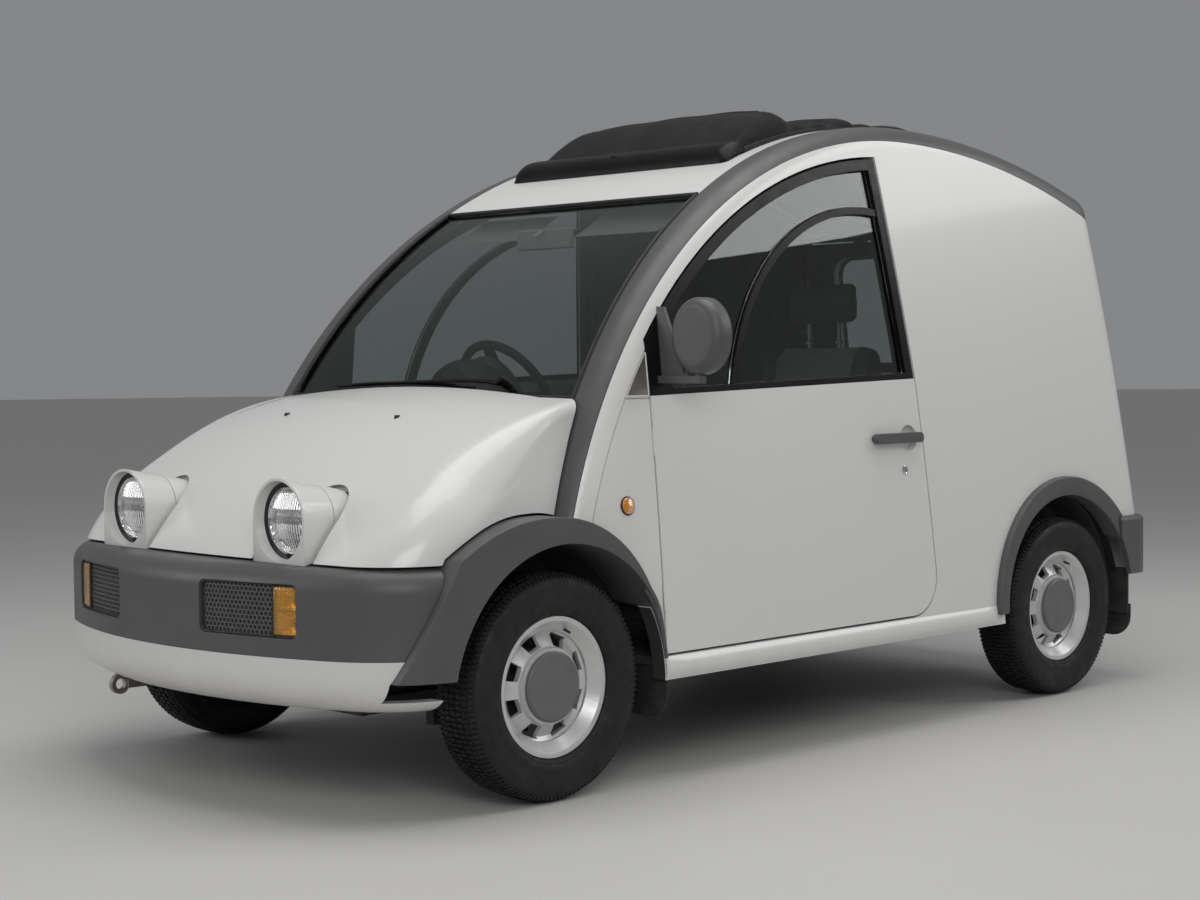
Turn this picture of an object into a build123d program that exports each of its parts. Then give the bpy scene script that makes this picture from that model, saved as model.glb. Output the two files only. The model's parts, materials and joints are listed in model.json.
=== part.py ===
from build123d import *
import os
from math import sqrt, radians, sin, cos

os.makedirs("parts", exist_ok=True)

# Light delivery van, +X forward, +Y left, +Z up, millimetres, wheels on z = 0

# Wheels and stance
FRONT_AXLE = 1055
REAR_AXLE = -1205
WHEEL_Z = 289
WHEEL_Y = 683
TYRE_R = 289
TYRE_W = 157
RIM_R = 178
OPENING_R = 362
HUB_R = 26
KINGPIN_Y = 590

# Body envelope: one great arch from the cowl over the roof, leaning sides
ARCH_X, ARCH_Z, ARCH_R = -564, 149, 1661
ROOF_Z = ARCH_Z + ARCH_R
TAIL_R = 2708
BAND_X, BAND_Z, BAND_R = -509, 189, ARCH_R - 91
REAR_X, REAR_LEAN, REAR_FOOT = -1690, 0.1297, 540
BELT_Z, BELT_HALF = 1010, 720
SIDE_SLOPE, SIDE_BOW = 0.1081, 4.0e-5
CORNER_R = 80
SILL_Z = 268
WALL = 45
RAIL_W = 105
COWL_Z = 960

# Nose: crowned bonnet turned about a cross axis
NOSE_X, NOSE_Z, NOSE_R, CROWN_R = FRONT_AXLE - 325, -87, 1132, 6000
NOSE_FOOT, NOSE_DRAW, NOSE_LEAN = 598, 18, 5
NOSE_FLANK, NOSE_TAPER = 779, 0.154
BONNET_T = 22
CREASE_R = 130
FRONT_REACH = 685
BUMPER_NOSE = FRONT_AXLE + FRONT_REACH
BUMPER_SIDE = 775
BUMPER_CORNER = 300
UNDER_R, RIM_ROUND = 95, 56
FLARE_STEP, FLARE_IN = 22, 140
LEDGE_Z, SEAM_Z, APRON_Z = 615, 400, 268
TAIL_LEDGE_Z, TAIL_FOOT_Z = 563, 368

# Shut lines and hinges
HINGE_Y, HINGE_Z, HINGE_LEAN = 782, 330, 0.0867
GUTTER = 36
DOOR_GAP = 6
PANEL_GAP = 0.4
SEAT_GAP = 0.3
FAR = 3000


def profile(start, *steps):
    """Closed face: a point is a line to it, a pair of points is an arc (through, to)."""
    edges = []
    here = start
    for step in steps:
        if isinstance(step[0], tuple):
            edges.append(ThreePointArc(here, step[0], step[1]))
            here = step[1]
        else:
            edges.append(Line(here, step))
            here = step
    edges.append(Line(here, start))
    return make_face(edges)


def slab(face, near, far):
    """Side-view face carried across from y = near to y = far."""
    return extrude(Plane.XZ.offset(-far) * face, far - near)


def lying(face, low, high):
    """Plan-view face carried up from z = low to z = high."""
    return extrude(Plane.XY.offset(low) * face, high - low)


def facing(face, back, front):
    """Front-view face carried from x = back to x = front."""
    return extrude(Plane.YZ.offset(back) * face, front - back)


def block(x0, x1, y0, y1, z0, z1):
    size = Box(x1 - x0, y1 - y0, z1 - z0)
    return Pos((x0 + x1) / 2, (y0 + y1) / 2, (z0 + z1) / 2) * size


def across(radius, x, z, y0, y1):
    """Cylinder lying across the van."""
    return Pos(x, (y0 + y1) / 2, z) * Rot(90, 0, 0) * Cylinder(radius, y1 - y0)


def other(shape):
    return mirror(shape, about=Plane.XZ)


def pair(shape):
    return Compound(children=[*solids_of(shape), *solids_of(other(shape))])


def solids_of(shape):
    return list(shape.solids())


def save(name, shape):
    found = solids_of(shape)
    print(name, len(found), "solids", round(sum(s.volume for s in found) / 1e6, 2), "dm3")
    made = found[0] if len(found) == 1 else Compound(children=found)
    export_step(made, "parts/" + name + ".step")


def half_width(z):
    return BELT_HALF - SIDE_SLOPE * (z - BELT_Z) - SIDE_BOW * (z - BELT_Z) ** 2


def between_sides(inset):
    low, mid, high = 150, BELT_Z, ROOF_Z + 90
    a, b, c = half_width(low) - inset, half_width(mid) - inset, half_width(high) - inset
    face = profile((a, low), ((b, mid), (c, high)), (-c, high), ((-b, mid), (-a, low)))
    return facing(face, -FAR, FAR)


def on_circle(cx, cz, r, z):
    return cx + sqrt(r * r - (z - cz) ** 2)


def arch_outline(cx, cz, r, tail_r, rear_x, rear_lean, foot):
    """Side view of the arch: front arc, flatter tail arc, leaning rear line."""
    tail_z = cz + r - tail_r
    a = 1 + rear_lean ** 2
    k = rear_x - rear_lean * REAR_FOOT - cx
    b = 2 * (rear_lean * k - tail_z)
    c = k * k + tail_z ** 2 - tail_r ** 2
    top = (-b + sqrt(b * b - 4 * a * c)) / (2 * a)
    end = (rear_x + rear_lean * (top - REAR_FOOT), top)
    mid_x = (cx + end[0]) / 2
    start = (on_circle(cx, cz, r, foot), foot)
    half = (cx + r * cos(radians(45)), cz + r * sin(radians(45)))
    tail = (mid_x, tail_z + sqrt(tail_r ** 2 - (mid_x - cx) ** 2))
    return profile(start, (half, (cx, cz + r)), (tail, end), (rear_x + rear_lean * (foot - REAR_FOOT), foot))


def cabin(inset):
    """Cab and load body drawn in by an inset, corners rounded."""
    face = arch_outline(ARCH_X, ARCH_Z, ARCH_R - inset, TAIL_R - inset, REAR_X + inset, REAR_LEAN, 200)
    raw = slab(face, -900, 900) & between_sides(inset)
    round_edges = [e for e in raw.edges() if e.bounding_box().max.Z > 210
                   and not (e.bounding_box().size.X < 1 and e.center().X > -700)]
    return fillet(round_edges, CORNER_R - inset)


def plan(grow, back=600):
    """Plan of the front end: bowed face, round corners, straight sides."""
    y, x = BUMPER_SIDE + grow, BUMPER_NOSE + grow
    side_x = x - y * y / 2932
    face = profile((back, -y), (side_x, -y), ((x, 0), (side_x, y)), (back, y))
    corners = [v for v in face.vertices() if v.X > back + 100]
    return fillet(corners, BUMPER_CORNER + grow)


def nose_plan(inset):
    """Plan of the bonnet: the bumper's face drawn in, flanks closing towards the cowl."""
    x, y, back = BUMPER_NOSE - NOSE_DRAW - inset, NOSE_FLANK - inset, FRONT_AXLE - 455
    side_x = x - y * y / 2932
    back_y = y - NOSE_TAPER * (side_x - back)
    face = profile((back, -back_y), (side_x, -y), ((x, 0), (side_x, y)), (back, back_y))
    corners = [v for v in face.vertices() if v.X > back + 100]
    return fillet(corners, BUMPER_CORNER - inset)


def nose(inset):
    """Bonnet form: crowned arc over leaning walls with round corners, crease rounded."""
    r, c, y = NOSE_R - inset, CROWN_R - inset, 850
    drop = c - sqrt(c * c - y * y)
    face = profile((-y, 0), (-y, r - drop), ((0, r), (y, r - drop)), (y, 0))
    hub = Plane(origin=(NOSE_X, 0, NOSE_Z), x_dir=(0, 1, 0), z_dir=(-1, 0, 0))
    turned = revolve(hub * face, Axis((NOSE_X, 0, NOSE_Z), (0, 1, 0)), 360)
    walls = extrude(Plane.XY.offset(NOSE_FOOT) * nose_plan(inset), 520, taper=NOSE_LEAN)
    raw = turned & walls
    creases = [e for e in raw.edges() if abs(e.center().Y) > 400 and e.bounding_box().size.Z > 30
               and e.bounding_box().size.X > 60]
    return fillet(creases, CREASE_R - inset)


outer = cabin(0)
inner = cabin(WALL)
shell = outer - inner

front_opening = across(OPENING_R, FRONT_AXLE, WHEEL_Z, 380, 900)
rear_opening = across(OPENING_R, REAR_AXLE, WHEEL_Z, 380, 900)

BAND_TAIL_R = BAND_R + TAIL_R - ARCH_R
band_face = arch_outline(BAND_X, BAND_Z, BAND_R, BAND_TAIL_R, REAR_X - 110, 0, 150)
inside_band = slab(band_face, -900, 900)

# Wheel-arch flares
front_flare_face = Pos(FRONT_AXLE, 0) * profile((-337, 300), (-337, 345), ((-255, 578), (55, 719)),
                                                ((220, 694), (345, 631)), (490, 345), (490, 300))
rear_flare_face = Pos(REAR_AXLE, 0) * profile((407, 300), ((-7, 712), (-419, 300)))


def flare_room(grow):
    front = slab(offset(front_flare_face, grow), 380, 900)
    rear = slab(offset(rear_flare_face, grow), 380, 900)
    return front + rear


flare_band = lying(plan(FLARE_STEP), 300, 760) - lying(plan(-FLARE_IN), 290, 770)
front_flare = slab(front_flare_face, 380, 900) & flare_band
front_flare = front_flare - front_opening - block(FRONT_AXLE + 325, FAR, 300, 900, 250, 348)
rear_flare = slab(rear_flare_face, 380, 900) & (between_sides(-20) - between_sides(WALL))
bumper_room = block(-FAR, REAR_AXLE - 298, 300, 900, 200, TAIL_LEDGE_Z + PANEL_GAP)
rear_flare = rear_flare - rear_opening - bumper_room
save("front_flares", pair(front_flare))
save("rear_flares", pair(rear_flare))


# Doors: one outline in side view, grown for the opening and drawn in for the frame
DOOR_X, DOOR_Z, DOOR_R = -465, 224, ARCH_R - 183
DOOR_FRONT, DOOR_FOOT = 682, 336
DOOR_T = 60
SASH_W = 34


def door_face(grow):
    front, foot, r = DOOR_FRONT + grow, DOOR_FOOT - grow, DOOR_R + grow
    rear_top = -378 - grow
    arc_front = (front, DOOR_Z + sqrt(r * r - (front - DOOR_X) ** 2))
    arc_mid = (DOOR_X + r * sin(radians(20)), DOOR_Z + r * cos(radians(20)))
    arc_end = (rear_top, DOOR_Z + sqrt(r * r - (rear_top - DOOR_X) ** 2))
    return profile((front, foot), arc_front, (arc_mid, arc_end), (-457 - grow, 1039), (-495 - grow, 470),
                   ((-463 - grow * 0.7, 372 - grow * 0.7), (-380, foot)))


def window_face(draw):
    r = DOOR_R - SASH_W - draw
    front, rear_top = 592 - draw, -382 + SASH_W + draw
    arc_front = (front, DOOR_Z + sqrt(r * r - (front - DOOR_X) ** 2))
    arc_mid = (DOOR_X + r * sin(radians(18)), DOOR_Z + r * cos(radians(18)))
    arc_end = (rear_top, DOOR_Z + sqrt(r * r - (rear_top - DOOR_X) ** 2))
    return profile((front, 1029 + draw), arc_front, (arc_mid, arc_end), (-455 + SASH_W + draw, 1058 + draw))


# Tailgate aperture
GATE_HALF = 590
GATE_LOW = 572


def rear_face_x(z):
    return REAR_X + REAR_LEAN * (z - REAR_FOOT)


roof_foot = on_circle(BAND_Z + BAND_R - BAND_TAIL_R, BAND_X, BAND_TAIL_R, rear_face_x(ROOF_Z - 275))
GATE_TOP = roof_foot - DOOR_GAP
GATE_PIN_R = 6
GATE_HINGE = (rear_face_x(GATE_TOP + 7) - GATE_PIN_R - 2 * SEAT_GAP, GATE_TOP + 7)

# Body sides with the sill, door opening and rear corner pillar
side = (shell & block(-FAR, FAR, 0, 900, SILL_Z, FAR) & inside_band)
side = side - (between_sides(WALL) & block(REAR_X + 290, FAR, -900, 900, 0, FAR))
side = side - slab(door_face(DOOR_GAP), 400, 900) - flare_room(PANEL_GAP) - front_opening - rear_opening
side = side - block(-FAR, REAR_X + 390, -10, GATE_HALF + DOOR_GAP, 0, FAR)
side = side - block(-FAR, REAR_X + 210, -10, 900, 0, TAIL_FOOT_Z + 4)
lamp_room = block(-FAR, REAR_X + 190, 604, 668, 640, 840)
side = side - lamp_room
MARKER_X, MARKER_Z, MARKER_R = 798, 729, 23
marker_room = across(MARKER_R + PANEL_GAP, MARKER_X, MARKER_Z, 600, 900)
side = side - marker_room
WING_LINE = BAND_R - 46
wing_line = slab(Pos(BAND_X, BAND_Z) * (Circle(WING_LINE) - Circle(WING_LINE - 4)), 400, 900)
wing_line = wing_line & block(DOOR_FRONT, FAR, 0, 900, 560, FAR)
belt_line = slab(Pos(BAND_X, BAND_Z) * Circle(WING_LINE), 400, 900) & block(DOOR_FRONT, FAR, 0, 900, 1002, 1006)
side = side - ((wing_line + belt_line) - cabin(5))
save("body_sides", pair(side))

tail_lamp = (cabin(-6) - cabin(20)) & block(-FAR, REAR_X + 190, 604.4, 667.6, 640.4, 839.6)
save("tail_lamps", pair(tail_lamp))

panel_half = GATE_HALF + DOOR_GAP - PANEL_GAP
rear_panel = shell & block(-FAR, REAR_X + 190, -panel_half, panel_half, TAIL_FOOT_Z + 4, GATE_LOW - DOOR_GAP)
save("rear_panel", rear_panel)

# Arch rails: the dark band along both edges of the arch
rail = shell - inside_band - between_sides(RAIL_W)
rail = rail & block(-FAR, FAR, 0, 900, 330, FAR)
rail = rail - flare_room(PANEL_GAP) - front_opening
save("arch_rails", pair(rail))

# Roof with its fabric opening, windscreen ahead of it
SCREEN_TURN = 58.6


def fan(low, high):
    """Slice of the arch between two angles above its centre."""
    points = [(ARCH_X + FAR * cos(radians(turn)), ARCH_Z + FAR * sin(radians(turn))) for turn in (low, high)]
    return slab(profile((ARCH_X, ARCH_Z), points[0], points[1]), -900, 900)


centre = between_sides(RAIL_W + PANEL_GAP)
roof = ((outer - cabin(30)) & centre & (fan(SCREEN_TURN + 0.02, 130) + fan(130, 200))) - inside_band
roof = roof - block(-780, 40, -400, 400, ROOF_Z - 310, FAR)
hinge_plate = cabin(-GATE_PIN_R) - cabin(0.5)
roof_hinge = across(GATE_PIN_R, *GATE_HINGE, 365 + SEAT_GAP, 400)
roof_leaf = hinge_plate & block(-FAR, REAR_X + 190, 365 + SEAT_GAP, 400, GATE_TOP + 7, GATE_TOP + 57)
roof_hinge = roof_hinge + roof_leaf
roof = roof + roof_hinge + other(roof_hinge)
save("roof_panel", roof)
screen = (cabin(8) - cabin(14)) & centre & fan(10, SCREEN_TURN - 0.02)
screen = screen & block(0, FAR, -900, 900, COWL_Z + SEAT_GAP, FAR)
save("windscreen", screen)

over_roof = cabin(-0.5)
CANVAS_PEAK = ROOF_Z + 46
canvas_face = profile((28, ROOF_Z - 210), (28, ROOF_Z - 84), ((-60, CANVAS_PEAK - 48), (-170, CANVAS_PEAK)),
                      ((-480, CANVAS_PEAK - 10), (-835, CANVAS_PEAK - 51)), (-835, ROOF_Z - 210))
canvas = slab(canvas_face, -432, 432) - over_roof
save("canvas_roof", canvas)
deflector_face = profile((137, ROOF_Z - 210), (137, ROOF_Z - 148), ((112, ROOF_Z - 110), (78, ROOF_Z - 94)),
                         (28 + SEAT_GAP, ROOF_Z - 82), (28 + SEAT_GAP, ROOF_Z - 210))
deflector = slab(deflector_face, -463, 463) - over_roof
save("wind_deflector", deflector)

# Bonnet: clamshell down to the flares and the bumper ledge
bonnet = (nose(0) - nose(BONNET_T)) & block(NOSE_X + 70, FAR, -900, 900, LEDGE_Z + DOOR_GAP, FAR)
bonnet = bonnet - slab(Pos(ARCH_X, ARCH_Z) * Circle(ARCH_R + DOOR_GAP), -900, 900)
gutter_room = slab(Pos(ARCH_X, ARCH_Z) * Circle(ARCH_R + GUTTER), -900, 900)
bonnet = bonnet - (gutter_room & block(0, FAR, -900, 900, COWL_Z - 20, FAR))
bonnet = bonnet - flare_room(DOOR_GAP) - other(flare_room(DOOR_GAP))

# Headlamp pods standing on the bumper ledge
POD_Y, POD_Z, POD_R, POD_FRONT = 351, 719, 106, BUMPER_NOSE - 132
LENS_R = 85


def pod_solid(grow, back, front):
    y, z, r = POD_Y, POD_Z, POD_R + grow
    foot = LEDGE_Z + 0.5 - grow
    face = profile((y - r, foot), (y - r, z), ((y, z + r), (y + r, z)), (y + r, foot))
    return extrude(Plane.YZ.offset(front) * face, front - back, dir=(-1, 0, 0), taper=11)


notch = pod_solid(12, POD_FRONT - 203, POD_FRONT)
notch = notch + facing(Pos(POD_Y, POD_Z) * Circle(POD_R + 12), POD_FRONT - 1, FAR)
bonnet = bonnet - notch - other(notch)
BONNET_PIN_R = 9
bonnet_hinge_z = NOSE_Z + sqrt(NOSE_R ** 2 - 163 ** 2) - 30
BONNET_HINGE = (on_circle(ARCH_X, ARCH_Z, ARCH_R + GUTTER, bonnet_hinge_z) - BONNET_PIN_R, bonnet_hinge_z)
hinge_x, hinge_z = BONNET_HINGE
stand_room = across(BONNET_PIN_R + 3, *BONNET_HINGE, 420, 453)
bonnet = bonnet - stand_room - other(stand_room)
hinge_lug = across(BONNET_PIN_R, *BONNET_HINGE, 380, 420)
hinge_lug = hinge_lug + block(hinge_x, hinge_x + 42, 380, 420, hinge_z - 18, hinge_z)
bonnet = bonnet + hinge_lug + other(hinge_lug)
save("bonnet", bonnet)
pod = pod_solid(0, POD_FRONT - 183, POD_FRONT)
lamp_bore = Pos(0, POD_Y, POD_Z) * Rot(0, 90, 0) * Cylinder(LENS_R + PANEL_GAP, 400)
pod = pod - (Pos(POD_FRONT + 92, 0, 0) * lamp_bore)
save("headlamp_pods", pair(pod))
LENS_CAP, BOWL_CAP = 190, 110
LENS_PROUD = 6
lens_core = Pos(POD_FRONT + LENS_PROUD - LENS_CAP, POD_Y, POD_Z)
lens = lens_core * Sphere(LENS_CAP) - lens_core * Sphere(LENS_CAP - 5)
lens = lens & facing(Pos(POD_Y, POD_Z) * Circle(LENS_R), POD_FRONT - 40, POD_FRONT + 20)
bowl_core = Pos(POD_FRONT - 62 + BOWL_CAP, POD_Y, POD_Z)
bowl = bowl_core * Sphere(BOWL_CAP + 4) - bowl_core * Sphere(BOWL_CAP)
bowl = bowl & facing(Pos(POD_Y, POD_Z) * Circle(LENS_R), POD_FRONT - 108, POD_FRONT - 20)
save("headlamp_lenses", pair(lens))
save("headlamp_bowls", pair(bowl))

# Front bumper band and lower apron
BUMPER_T = 26


def bumper_solid(inset):
    """Bumper and apron in one form: upright face, rounded ledge above, turned under below."""
    made = lying(plan(-inset), APRON_Z + inset, LEDGE_Z - inset)
    rim = [e for e in made.edges() if e.center().Z > LEDGE_Z - inset - 1 and e.center().X > FRONT_AXLE - 435]
    made = fillet(rim, RIM_ROUND - inset)
    under = [e for e in made.edges() if e.center().Z < APRON_Z + inset + 1 and e.center().X > FRONT_AXLE - 435]
    return fillet(under, UNDER_R - inset)


front_skin = bumper_solid(0) - bumper_solid(BUMPER_T) - lying(plan(8 - UNDER_R), 0, APRON_Z + BUMPER_T + 1)
front_skin = front_skin & block(FRONT_AXLE + 235, FAR, -900, 900, APRON_Z, LEDGE_Z + 1)
ledge_end = nose(48)
ledge_end = ledge_end + extrude(ledge_end.faces().sort_by(Axis.Z)[0], 40, dir=(0, 0, -1))
front_skin = front_skin - ledge_end - flare_room(PANEL_GAP) - other(flare_room(PANEL_GAP))
front_skin = front_skin - front_opening - other(front_opening)
GRILLE_IN, GRILLE_OUT, GRILLE_LOW, GRILLE_TOP = 184, 492, 447, 577
AMBER_IN = 420
grille_z = (GRILLE_LOW + GRILLE_TOP) / 2
grille_y = (GRILLE_IN + GRILLE_OUT) / 2
mouth_w, mouth_h = GRILLE_OUT - GRILLE_IN, GRILLE_TOP - GRILLE_LOW
mouth = facing(Pos(grille_y, grille_z) * RectangleRounded(mouth_w, mouth_h, 16), BUMPER_NOSE - 240, FAR)
mouth_fill = Pos(grille_y, grille_z) * RectangleRounded(mouth_w - 0.8, mouth_h - 0.8, 15.6)
in_mouth = facing(mouth_fill, BUMPER_NOSE - 240, FAR)
bumper = (front_skin & block(0, FAR, -900, 900, SEAM_Z + PANEL_GAP, FAR)) - mouth - other(mouth)
apron = front_skin & block(0, FAR, -900, 900, 0, SEAM_Z)
save("front_bumper", bumper)
save("front_apron", apron)
plate = (bumper_solid(9) - bumper_solid(17)) & in_mouth & block(0, FAR, 0, AMBER_IN - PANEL_GAP, 0, FAR)
CELL = 21
rows, columns = 5, 9
holes = []
for row in range(rows):
    for column in range(columns):
        y = GRILLE_IN + 24 + column * CELL * 1.16 + (row % 2) * CELL * 0.58
        z = GRILLE_LOW + 24 + row * CELL
        if y < AMBER_IN - 14:
            holes.append(Pos(y, z) * RegularPolygon(CELL * 0.52, 6))
plate = plate - facing(Sketch() + holes, BUMPER_NOSE - 240, FAR)
save("grilles", pair(plate))
amber = (bumper_solid(2) - bumper_solid(25)) & in_mouth & block(0, FAR, AMBER_IN, 900, 0, FAR)
marker = across(MARKER_R, MARKER_X, MARKER_Z, half_width(MARKER_Z) - 28, half_width(MARKER_Z) + 6)
save("amber_lamps", pair(Compound(children=[*amber.solids(), *marker.solids()])))

# Rear bumper round the tail
TAIL_SIDE, TAIL_X = 790, REAR_X - 50
rear_plan = profile((TAIL_X + 410, -TAIL_SIDE), (TAIL_X + 24, -TAIL_SIDE),
                    ((TAIL_X, 0), (TAIL_X + 24, TAIL_SIDE)), (TAIL_X + 410, TAIL_SIDE))
rear_face = fillet([v for v in rear_plan.vertices() if v.X < TAIL_X + 100], 120)
rear_block = lying(rear_face, TAIL_FOOT_Z, TAIL_LEDGE_Z)
rear_rim = [e for e in rear_block.edges() if e.center().Z > TAIL_LEDGE_Z - 3 and e.center().X < TAIL_X + 340]
rear_block = fillet(rear_rim, 18)
rear_bumper = (rear_block - cabin(-PANEL_GAP)) & block(-FAR, REAR_AXLE - 298 - PANEL_GAP, -900, 900, 0, FAR)
rear_bumper = rear_bumper - rear_opening - other(rear_opening)
save("rear_bumper", rear_bumper)

# Doors
door_skin = outer - cabin(DOOR_T)
door_zone = slab(door_face(0), 400, 900)
door_solid = door_skin & door_zone
panel = door_solid & slab(profile((900, 200), (900, 1004), (-700, 1046.67), (-700, 200)), 400, 900)
panel = panel - across(38, -405, 864, half_width(864) - 16, 900)
hinge_foot = (DOOR_FRONT + DOOR_GAP / 2, HINGE_Y, HINGE_Z)
hinge_line = Plane(origin=hinge_foot, x_dir=(1, 0, 0), z_dir=(0, -HINGE_LEAN, 1))
pins = [hinge_line * Pos(0, 0, up) * (Cylinder(2.7, 70) + Pos(-3, -2.5, 0) * Box(6, 5, 70)) for up in (150, 560)]
panel = panel + pins[0] + pins[1]
save("door_panel_left", panel)
save("door_panel_right", other(panel))
above = slab(profile((900, 1004.4), (900, FAR), (-700, FAR), (-700, 1047.07)), 400, 900)
divider = slab(Pos(-291, 890) * Circle(660) - Pos(-291, 890) * Circle(638), 400, 900)
sash_shell = cabin(2) - cabin(48)
sash = sash_shell & slab(door_face(-1), 400, 900) & above
sash = sash - slab(window_face(0), 400, 900)
bar = (cabin(5) - cabin(40)) & slab(window_face(0), 400, 900) & divider
sash = sash + bar
save("door_sash_left", sash)
save("door_sash_right", other(sash))
pane = (cabin(16) - cabin(21)) & slab(window_face(0.5), 400, 900)
pane = pane - slab(Pos(-291, 890) * Circle(660.5) - Pos(-291, 890) * Circle(637.5), 400, 900)
save("door_glass_left", pane)
save("door_glass_right", other(pane))
grip_face = Pos(-336, 866) * RectangleRounded(222, 30, 14)
grip = (cabin(-26) - cabin(-8)) & slab(grip_face, 400, 900)
feet = (cabin(-10) - cabin(-0.2)) & slab(Pos(-240, 866) * Circle(11) + Pos(-436, 866) * Circle(9), 400, 900)
MIRROR = (634, 855, 1165)
head = facing(Pos(MIRROR[1], MIRROR[2]) * Ellipse(88, 100), MIRROR[0] - 24, MIRROR[0] + 30)
head = fillet(head.edges().sort_by(Axis.X)[-1], 26)
stalk = block(624, 648, 690, 866, 1042, 1062) + Pos(636, 852, 1072) * Cylinder(12, 60)
stalk = stalk - cabin(2 - PANEL_GAP)
handle = list((grip + feet).solids())
save("door_fittings_left", Compound(children=[*handle, *(head + stalk).solids()]))
save("door_fittings_right", other(handle[0]))

# Tailgate with its window
gate_skin = shell & block(-FAR, REAR_X + 290, -GATE_HALF, GATE_HALF, GATE_LOW, GATE_TOP)
GATE_PANE_Z, GATE_PANE_W, GATE_PANE_H = GATE_TOP - 255, 940, 400
gate_window = facing(Pos(0, GATE_PANE_Z) * RectangleRounded(GATE_PANE_W, GATE_PANE_H, 70), -FAR, REAR_X + 390)
gate_hinge = across(GATE_PIN_R, *GATE_HINGE, 330, 365)
gate_hinge = gate_hinge + (hinge_plate & block(-FAR, REAR_X + 190, 330, 365, GATE_TOP - 50, GATE_TOP + 4))
save("tailgate_panel", gate_skin - gate_window + gate_hinge + other(gate_hinge))
gate_pane = RectangleRounded(GATE_PANE_W - 1, GATE_PANE_H - 1, 69.5)
gate_glass = (cabin(10) - cabin(15)) & facing(Pos(0, GATE_PANE_Z) * gate_pane, -FAR, REAR_X + 390)
save("tailgate_glass", gate_glass)

# Floor, bulkhead and wheel tubs
WALL_X = 770
TUB_R = OPENING_R + 4
TUB_T = 6
FRONT_TUB_IN, REAR_TUB_IN = 425, 560
tub_cut = across(TUB_R + TUB_T + PANEL_GAP, FRONT_AXLE, WHEEL_Z, FRONT_TUB_IN - PANEL_GAP, 900)
tub_cut = tub_cut + across(TUB_R + TUB_T + PANEL_GAP, REAR_AXLE, WHEEL_Z, REAR_TUB_IN - PANEL_GAP, 900)
tub_cut = tub_cut + other(tub_cut)
FLOOR_Z, FLOOR_T = 322, 22
floor_zone = block(REAR_X + 50, WALL_X + 22, -900, 900, FLOOR_Z - FLOOR_T, FLOOR_Z)
floor_zone = floor_zone & between_sides(WALL + PANEL_GAP)
save("floor_pan", floor_zone - tub_cut)
wall = between_sides(WALL + PANEL_GAP) & cabin(WALL + PANEL_GAP)
wall = wall & block(WALL_X, WALL_X + 22, -690, 690, FLOOR_Z, COWL_Z)
flare_foot = slab(offset(front_flare_face, PANEL_GAP), BUMPER_SIDE - FLARE_IN - PANEL_GAP, 900)
wall = wall - flare_foot - other(flare_foot)
cowl = between_sides(RAIL_W + 3) & block(WALL_X + 22, hinge_x + 17, -900, 900, COWL_Z - 22, COWL_Z)
cowl = cowl & nose(BONNET_T + DOOR_GAP)
stand = block(hinge_x - BONNET_PIN_R, hinge_x + BONNET_PIN_R, 420 + SEAT_GAP, 450, COWL_Z - 10, hinge_z)
stand = stand + across(BONNET_PIN_R, *BONNET_HINGE, 420 + SEAT_GAP, 450)
cowl = cowl + stand + other(stand)
save("bulkhead", (wall + cowl) - tub_cut)


def tub(x, inside, outside):
    drum = across(TUB_R + TUB_T, x, WHEEL_Z, inside, outside)
    hollow = across(TUB_R, x, WHEEL_Z, inside + TUB_T, outside + 50)
    return (drum - hollow) & block(x - FAR, x + FAR, inside - 10, outside, FLOOR_Z, FAR)


front_tub = tub(FRONT_AXLE, FRONT_TUB_IN, 692) & lying(plan(-FLARE_IN - PANEL_GAP), 300, 800)
rear_tub = tub(REAR_AXLE, REAR_TUB_IN, 692)
save("wheel_tubs", pair(Compound(children=[*front_tub.solids(), *rear_tub.solids()])))
mat_half = REAR_TUB_IN - 10
mat = block(REAR_X + 130, -600, -mat_half, mat_half, FLOOR_Z, FLOOR_Z + 6)
save("load_mat", mat)

# Cab fittings
dash_face = profile((WALL_X, 700), (WALL_X, COWL_Z - 2), ((640, 985), (520, 940)), (470, 860), (520, 700))
dash = slab(dash_face, -640, 640) & cabin(60) & between_sides(70)
dome = (Pos(690, 0, 985) * Sphere(125)) & block(500, 760, -200, 200, 900, 1200)
dash = dash + dome
column_axis = Plane(origin=(240, -330, 990), x_dir=(0, 1, 0), z_dir=(-0.88, 0, 0.475))
column = column_axis * Pos(0, 0, -141.6) * Cylinder(32, 246.6)
save("dashboard", Compound(children=[*dash.solids(), *(column - dash).solids()]))
rim = column_axis * Torus(186, 14)
spokes = column_axis * (Box(345, 34, 12) + Pos(0, -85, 0) * Box(40, 170, 12) + Cylinder(52, 36))
save("steering_wheel", rim + spokes)

seat_side = profile((-440, 470), (60, 470), ((95, 530), (60, 590)), (-350, 560), (-470, 1130),
                    ((-500, 1160), (-540, 1140)), (-480, 500))
seat = fillet(slab(seat_side, 95, 565).edges(), 18)
rest = fillet((Pos(-500, 330, 1275) * Box(80, 250, 140)).edges(), 26)
posts = Pos(-502, 330, 1186) * (Pos(0, -60, 0) * Cylinder(7, 52) + Pos(0, 60, 0) * Cylinder(7, 52))
rest = rest + posts - seat
base = block(-440, 40, 130, 530, FLOOR_Z, 470 - SEAT_GAP)
save("seats", pair(seat))
save("headrests", pair(rest))
save("seat_bases", pair(base))
glass_mirror = fillet(block(372, 392, -115, 115, 1430, 1490).edges(), 6)
mirror_stem = block(388, 430, -10, 10, 1468, 1488) & cabin(14.5)
save("cab_mirror", glass_mirror + mirror_stem)

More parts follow.
